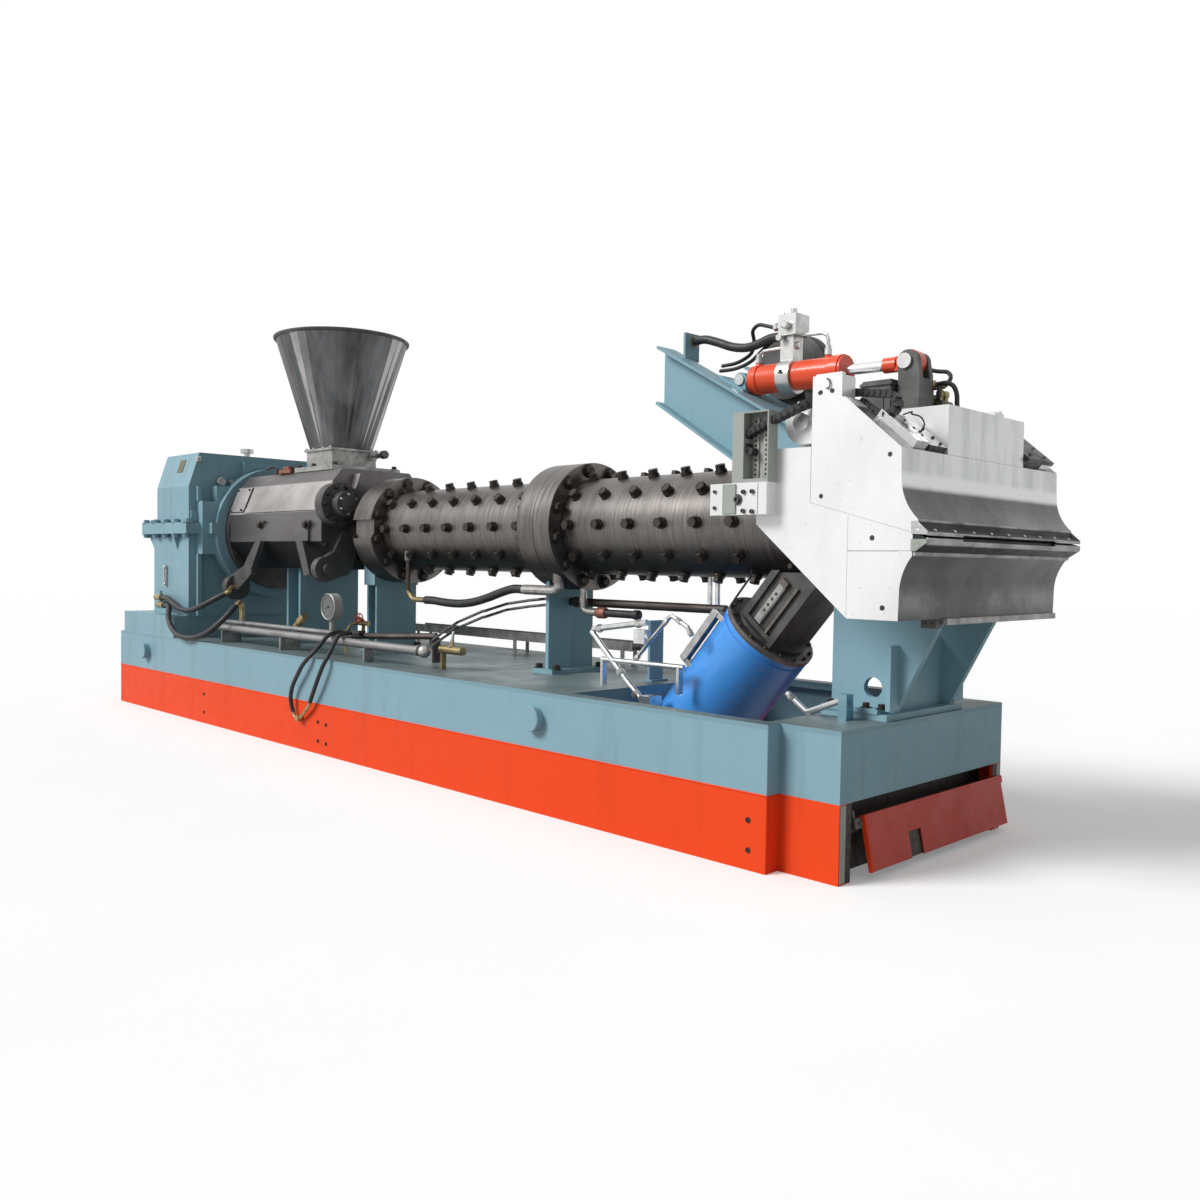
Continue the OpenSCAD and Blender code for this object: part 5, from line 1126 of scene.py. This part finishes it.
def jaw_details():
    """Junction box, cheek screws, and the manifold behind the lugs."""
    with Piece("junction_box_cover", "dark_steel", "upper_jaw") as piece:
        piece.box((3.268, -.334, 1.772), (3.402, -.178, 1.944), .004)
        piece.box((3.262, -.342, 1.92), (3.408, -.172, 1.934), .003)
        for x in (3.285, 3.385):
            for z in (1.79, 1.9):
                piece.cap_screw((x, -.334, z), -Y, .01)
        piece.box((3.3, -.338, 1.815), (3.37, -.333, 1.88), .001)

    with Piece("cheek_screws", "pin_steel", "upper_jaw") as piece:
        profile = [(0, .008), (.0046, .008), (.0046, .004)]
        for side in (-1, 1):
            for x, z in ((3.3, 1.855), (3.352, 1.858)):
                piece.turned((x, side * (HALF_W - .004), z), Y * side, profile, 16)
            inner, outer = side * (HALF_W + .002), side * (HALF_W + .006)
            piece.tube([(3.33, inner, 1.905), (3.342, outer, 1.9), (3.348, outer, 1.882),
                        (3.34, outer, 1.868), (3.33, inner, 1.87)], .0025, 8, 4)

    with Piece("jaw_manifold", "dark_steel", "upper_jaw") as piece:
        piece.box((3.395, -.175, 1.82), (3.455, -.045, 1.905), .004)
        piece.box((3.405, -.15, 1.905), (3.445, -.07, 1.965), .004)
        piece.box((3.47, -.15, 1.82), (3.52, -.05, 1.87), .004)
        piece.stepped((3.425, -.11, 1.965), Z, [(.03, .022)], [(.034, .016), (.05, .016)], 6)

    with Piece("jaw_fittings", "brass", "upper_jaw") as piece:
        for y, z in ((-.14, 1.935), (-.085, 1.935), (-.15, 1.87), (-.065, 1.87)):
            piece.stepped((3.445, y, z), X, [(.022, .013), (.04, .018)], [(.044, .011), (.056, .011)], 6)
        for y in (-.115, -.075):
            piece.stepped((3.495, y, 1.87), Z, [(.02, .014), (.038, .019)], [(.044, .012)], 6)
        piece.stepped((3.56, -.1, 1.82), Z, [(.02, .018)], [(.024, .012), (.03, .012)], 6)

    with Piece("jaw_hoses", "black_rubber", "upper_jaw") as piece:
        piece.tube([(3.5, -.14, 1.935), (3.53, -.138, 1.937), (3.556, -.13, 1.925), (3.566, -.118, 1.895),
                    (3.562, -.104, 1.86), (3.56, -.1, 1.835)], .0095)
        piece.tube([(3.5, -.085, 1.935), (3.52, -.08, 1.965), (3.505, -.078, 1.99), (3.47, -.09, 1.996),
                    (3.44, -.1, 2.004), (3.425, -.11, 2.012)], .0085)
        piece.tube([(3.5, -.15, 1.87), (3.514, -.16, 1.885), (3.512, -.155, 1.915), (3.498, -.13, 1.925),
                    (3.495, -.115, 1.905)], .008)


# ---------------- Opening cylinder
PILOT_HOSES = {
    "pilot_hose_upper": [
        (2.79, -.275, 2.24), (2.755, -.275, 2.252), (2.7, -.27, 2.266), (2.65, -.245, 2.25),
        (2.635, -.215, 2.21), (2.6, -.19, 2.165), (2.52, -.185, 2.135), (2.43, -.185, 2.13)],
    "pilot_hose_lower": [
        (2.79, -.225, 2.2), (2.755, -.225, 2.2), (2.69, -.215, 2.17), (2.61, -.205, 2.125),
        (2.52, -.2, 2.105), (2.43, -.2, 2.105)],
}


def cylinder_details():
    """Fittings, screws and pilot hoses of the valve, and the screws of the cylinder's band."""
    with Piece("valve_fittings", "machined_steel", "opening_cylinder") as piece:
        for x, z in ((3.053, 2.093), (2.693, 2.101)):
            piece.stepped((x, -.25, z), Z, [(.024, .017)], [(.028, .013), (.04, .013)], 6)
        for y in (-.285, -.215):
            for x in (2.845, 2.885):
                piece.cap_screw((x, y, 2.284), Z, .014)

    with Piece("valve_plugs", "machined_steel", "opening_cylinder") as piece:
        piece.stepped((2.875, -.3, 2.235), -Y, [(.012, .016), (.022, .02)], [(.026, .014)], 6)
        piece.stepped((2.845, -.3, 2.185), -Y, [(.012, .012), (.02, .016)], sides=6)
        for y, z in ((-.275, 2.24), (-.225, 2.2)):
            piece.stepped((2.829, y, z), -X, [(.02, .014), (.034, .018)], [(.04, .012)], 6)

    for name, route in PILOT_HOSES.items():
        piece = Piece(name, "black_rubber")
        piece.tube(route, .0085, 12, 6)
        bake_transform(piece.made())

    with Piece("band_screws", "pin_steel", "opening_cylinder") as piece:
        for y in (-.322, -.178):
            piece.bolt((2.862, y, 2.03), Z, .018)


# ---------------- Deck
def deck_details():
    # Ladder tray for cables along the far side
    tray_x0, tray_x1, rung_pitch = -.98, 1.283, .049
    with Piece("cable_tray", "cast_silver") as piece:
        for y in (.44, .56):
            piece.box((tray_x0, y - .002, .68), (tray_x1, y + .002, .735), 0)
        for k in range(46):
            x = tray_x0 + .02 + k * rung_pitch
            piece.box((x, .44, .68), (x + .022, .56, .684), 0)
        for x in (-.9, .203, 1.2):
            for y in (.445, .555):
                piece.box((x - .015, y - .004, .562), (x + .015, y + .004, .682), .001)
            piece.box((x - .03, .41, .56), (x + .03, .59, .566), .001)

    with Piece("tray_cables", "black_rubber") as piece:
        waves = ((-.96, 0, 0), (-.5, .008, .001), (0, -.006, 0), (.5, .006, .002), (.9, -.005, 0),
                 (1.26, 0, 0))
        for y, r in ((.47, .01), (.495, .008), (.52, .011), (.54, .007)):
            piece.tube([(x, y + sway, .684 + r + lift) for x, sway, lift in waves], r, 10, 5)

    with Piece("deck_strip", "cast_silver") as piece:
        piece.box((.99, -.286, .5605), (1.418, -.27, .566), .001)

    # Red swivel on the water elbow, and its black stub
    water_y, water_z = -.06, .932
    with Piece("water_swivel", "copper") as piece:
        piece.turned((1.495, water_y, water_z), X, [(0, .026), (.012, .031), (.058, .031), (.07, .026)], 24)
    with Piece("water_stub", "black_rubber") as piece:
        piece.tube([(x, water_y, water_z) for x in (1.56, 1.68, 1.8)], .021, 16)
        piece.stepped((1.775, water_y, water_z), X, [(.03, .026)], [(.034, .02)], 20)


# ---------------- Clamp cylinder
CLAMP_R = .226


def clamp_details():
    """Rim and its screws, position scale, and the strips on the neck, in the clamp's leaning frame."""
    lean = Matrix.Translation((2.596, 0, .883)) @ Matrix.Rotation(math.radians(40.3), 4, "Y")
    up = lean.to_3x3() @ Z
    with Piece("clamp_rim", "rust_steel") as piece:
        inner, outer = CLAMP_R - .01, CLAMP_R + .003
        piece.ring(lean.translation, up, [(-.002, inner), (-.002, CLAMP_R + .001), (.001, outer),
                                          (.021, outer), (.0235, CLAMP_R), (.0235, inner)], 96)

    # The screws that the neck doesn't cover
    with Piece("clamp_rim_screws", "pin_steel") as piece:
        for point in circle_of((0, 0, .022), Z, CLAMP_R - .017, 16, .2):
            if abs(point.y) > .155 or point.x > .125 or point.x < -.11:
                piece.cap_screw(lean @ point, up, .018)

    with Piece("position_scale", "machined_steel") as piece:
        piece.box((-.228, -.172, -.367), (-.19, -.13, -.046), .002, lean)
        for z in (-.372, -.068):
            piece.box((-.218, -.168, z), (-.15, -.132, z + .027), .002, lean)

    with Piece("neck_strip", "cast_silver") as piece:
        piece.box((-.029, -.1525, .08), (.003, -.148, .302), .0015, lean)
        piece.box((-.034, -.15, .07), (.008, -.1335, .312), .002, lean)

    # Raised edge beside the strip, and the clip at the strip's upper end
    with Piece("neck_ridge", "rust_steel") as piece:
        piece.box((.05, -.15, .04), (.064, -.14, .33), .002, lean)
        piece.box((-.036, -.156, .286), (.01, -.134, .318), .002, lean)

    with Piece("neck_strip_holes", "pin_steel") as piece:
        for z in (.14, .172, .206, .238):
            piece.stepped(lean @ Vector((-.013, -.1522, z)), -Y, [(.001, .0075)], sides=14)

    with Piece("neck_cable", "black_rubber") as piece:
        piece.tube([(2.6, -.15, 1.185), (2.593, -.145, 1.156), (2.56, -.155, 1.105), (2.53, -.165, 1.06),
                    (2.505, -.172, 1.02), lean @ Vector((-.158, -.152, .02))], .0055, 10, 5)


# ---------------- Steel tubes
# Nuts: place, direction of the tube, width
TUBE_NUTS = [
    ((1.912, -.3, .6575), (.73, 0, -.68), .046), ((2.02, -.3, .557), (.73, 0, -.68), .048),
    ((1.76, -.3, .8687), (.99, 0, .14), .044), ((2.03, -.3, .907), (.99, 0, .14), .044),
    ((2.02, -.3, .7365), (.7, 0, .715), .032), ((2.205, -.3, .922), (.72, 0, .695), .03),
    ((2.29, -.3, .933), (.895, 0, -.447), .03), ((2.362, -.3, .88), (.57, 0, -.82), .032),
    ((3.01, -.4, .6495), (.82, 0, -.57), .034)]


def tube_fittings():
    """Compression nuts on the steel tubes at the pit."""
    with Piece("tube_nuts", "machined_steel") as piece:
        for point, axis, across in TUBE_NUTS:
            r = across / 2
            piece.turned(point, axis, [(-.016, r * .8), (-.012, r), (.01, r), (.016, r * .8)], 6)


for make in (make_hoses, barrel_bolts, barrel_seams, gearbox_bolts, gearbox_details, feed_details,
             hopper_details, pressure_dial, valves, base_details, cover_details, stand_bolts, head_details,
             lower_jaw_details, die_details, bracket_details, drag_chain, cable_channel, guide_bar_details,
             jaw_details, cylinder_details, deck_details, clamp_details, tube_fittings):
    make()
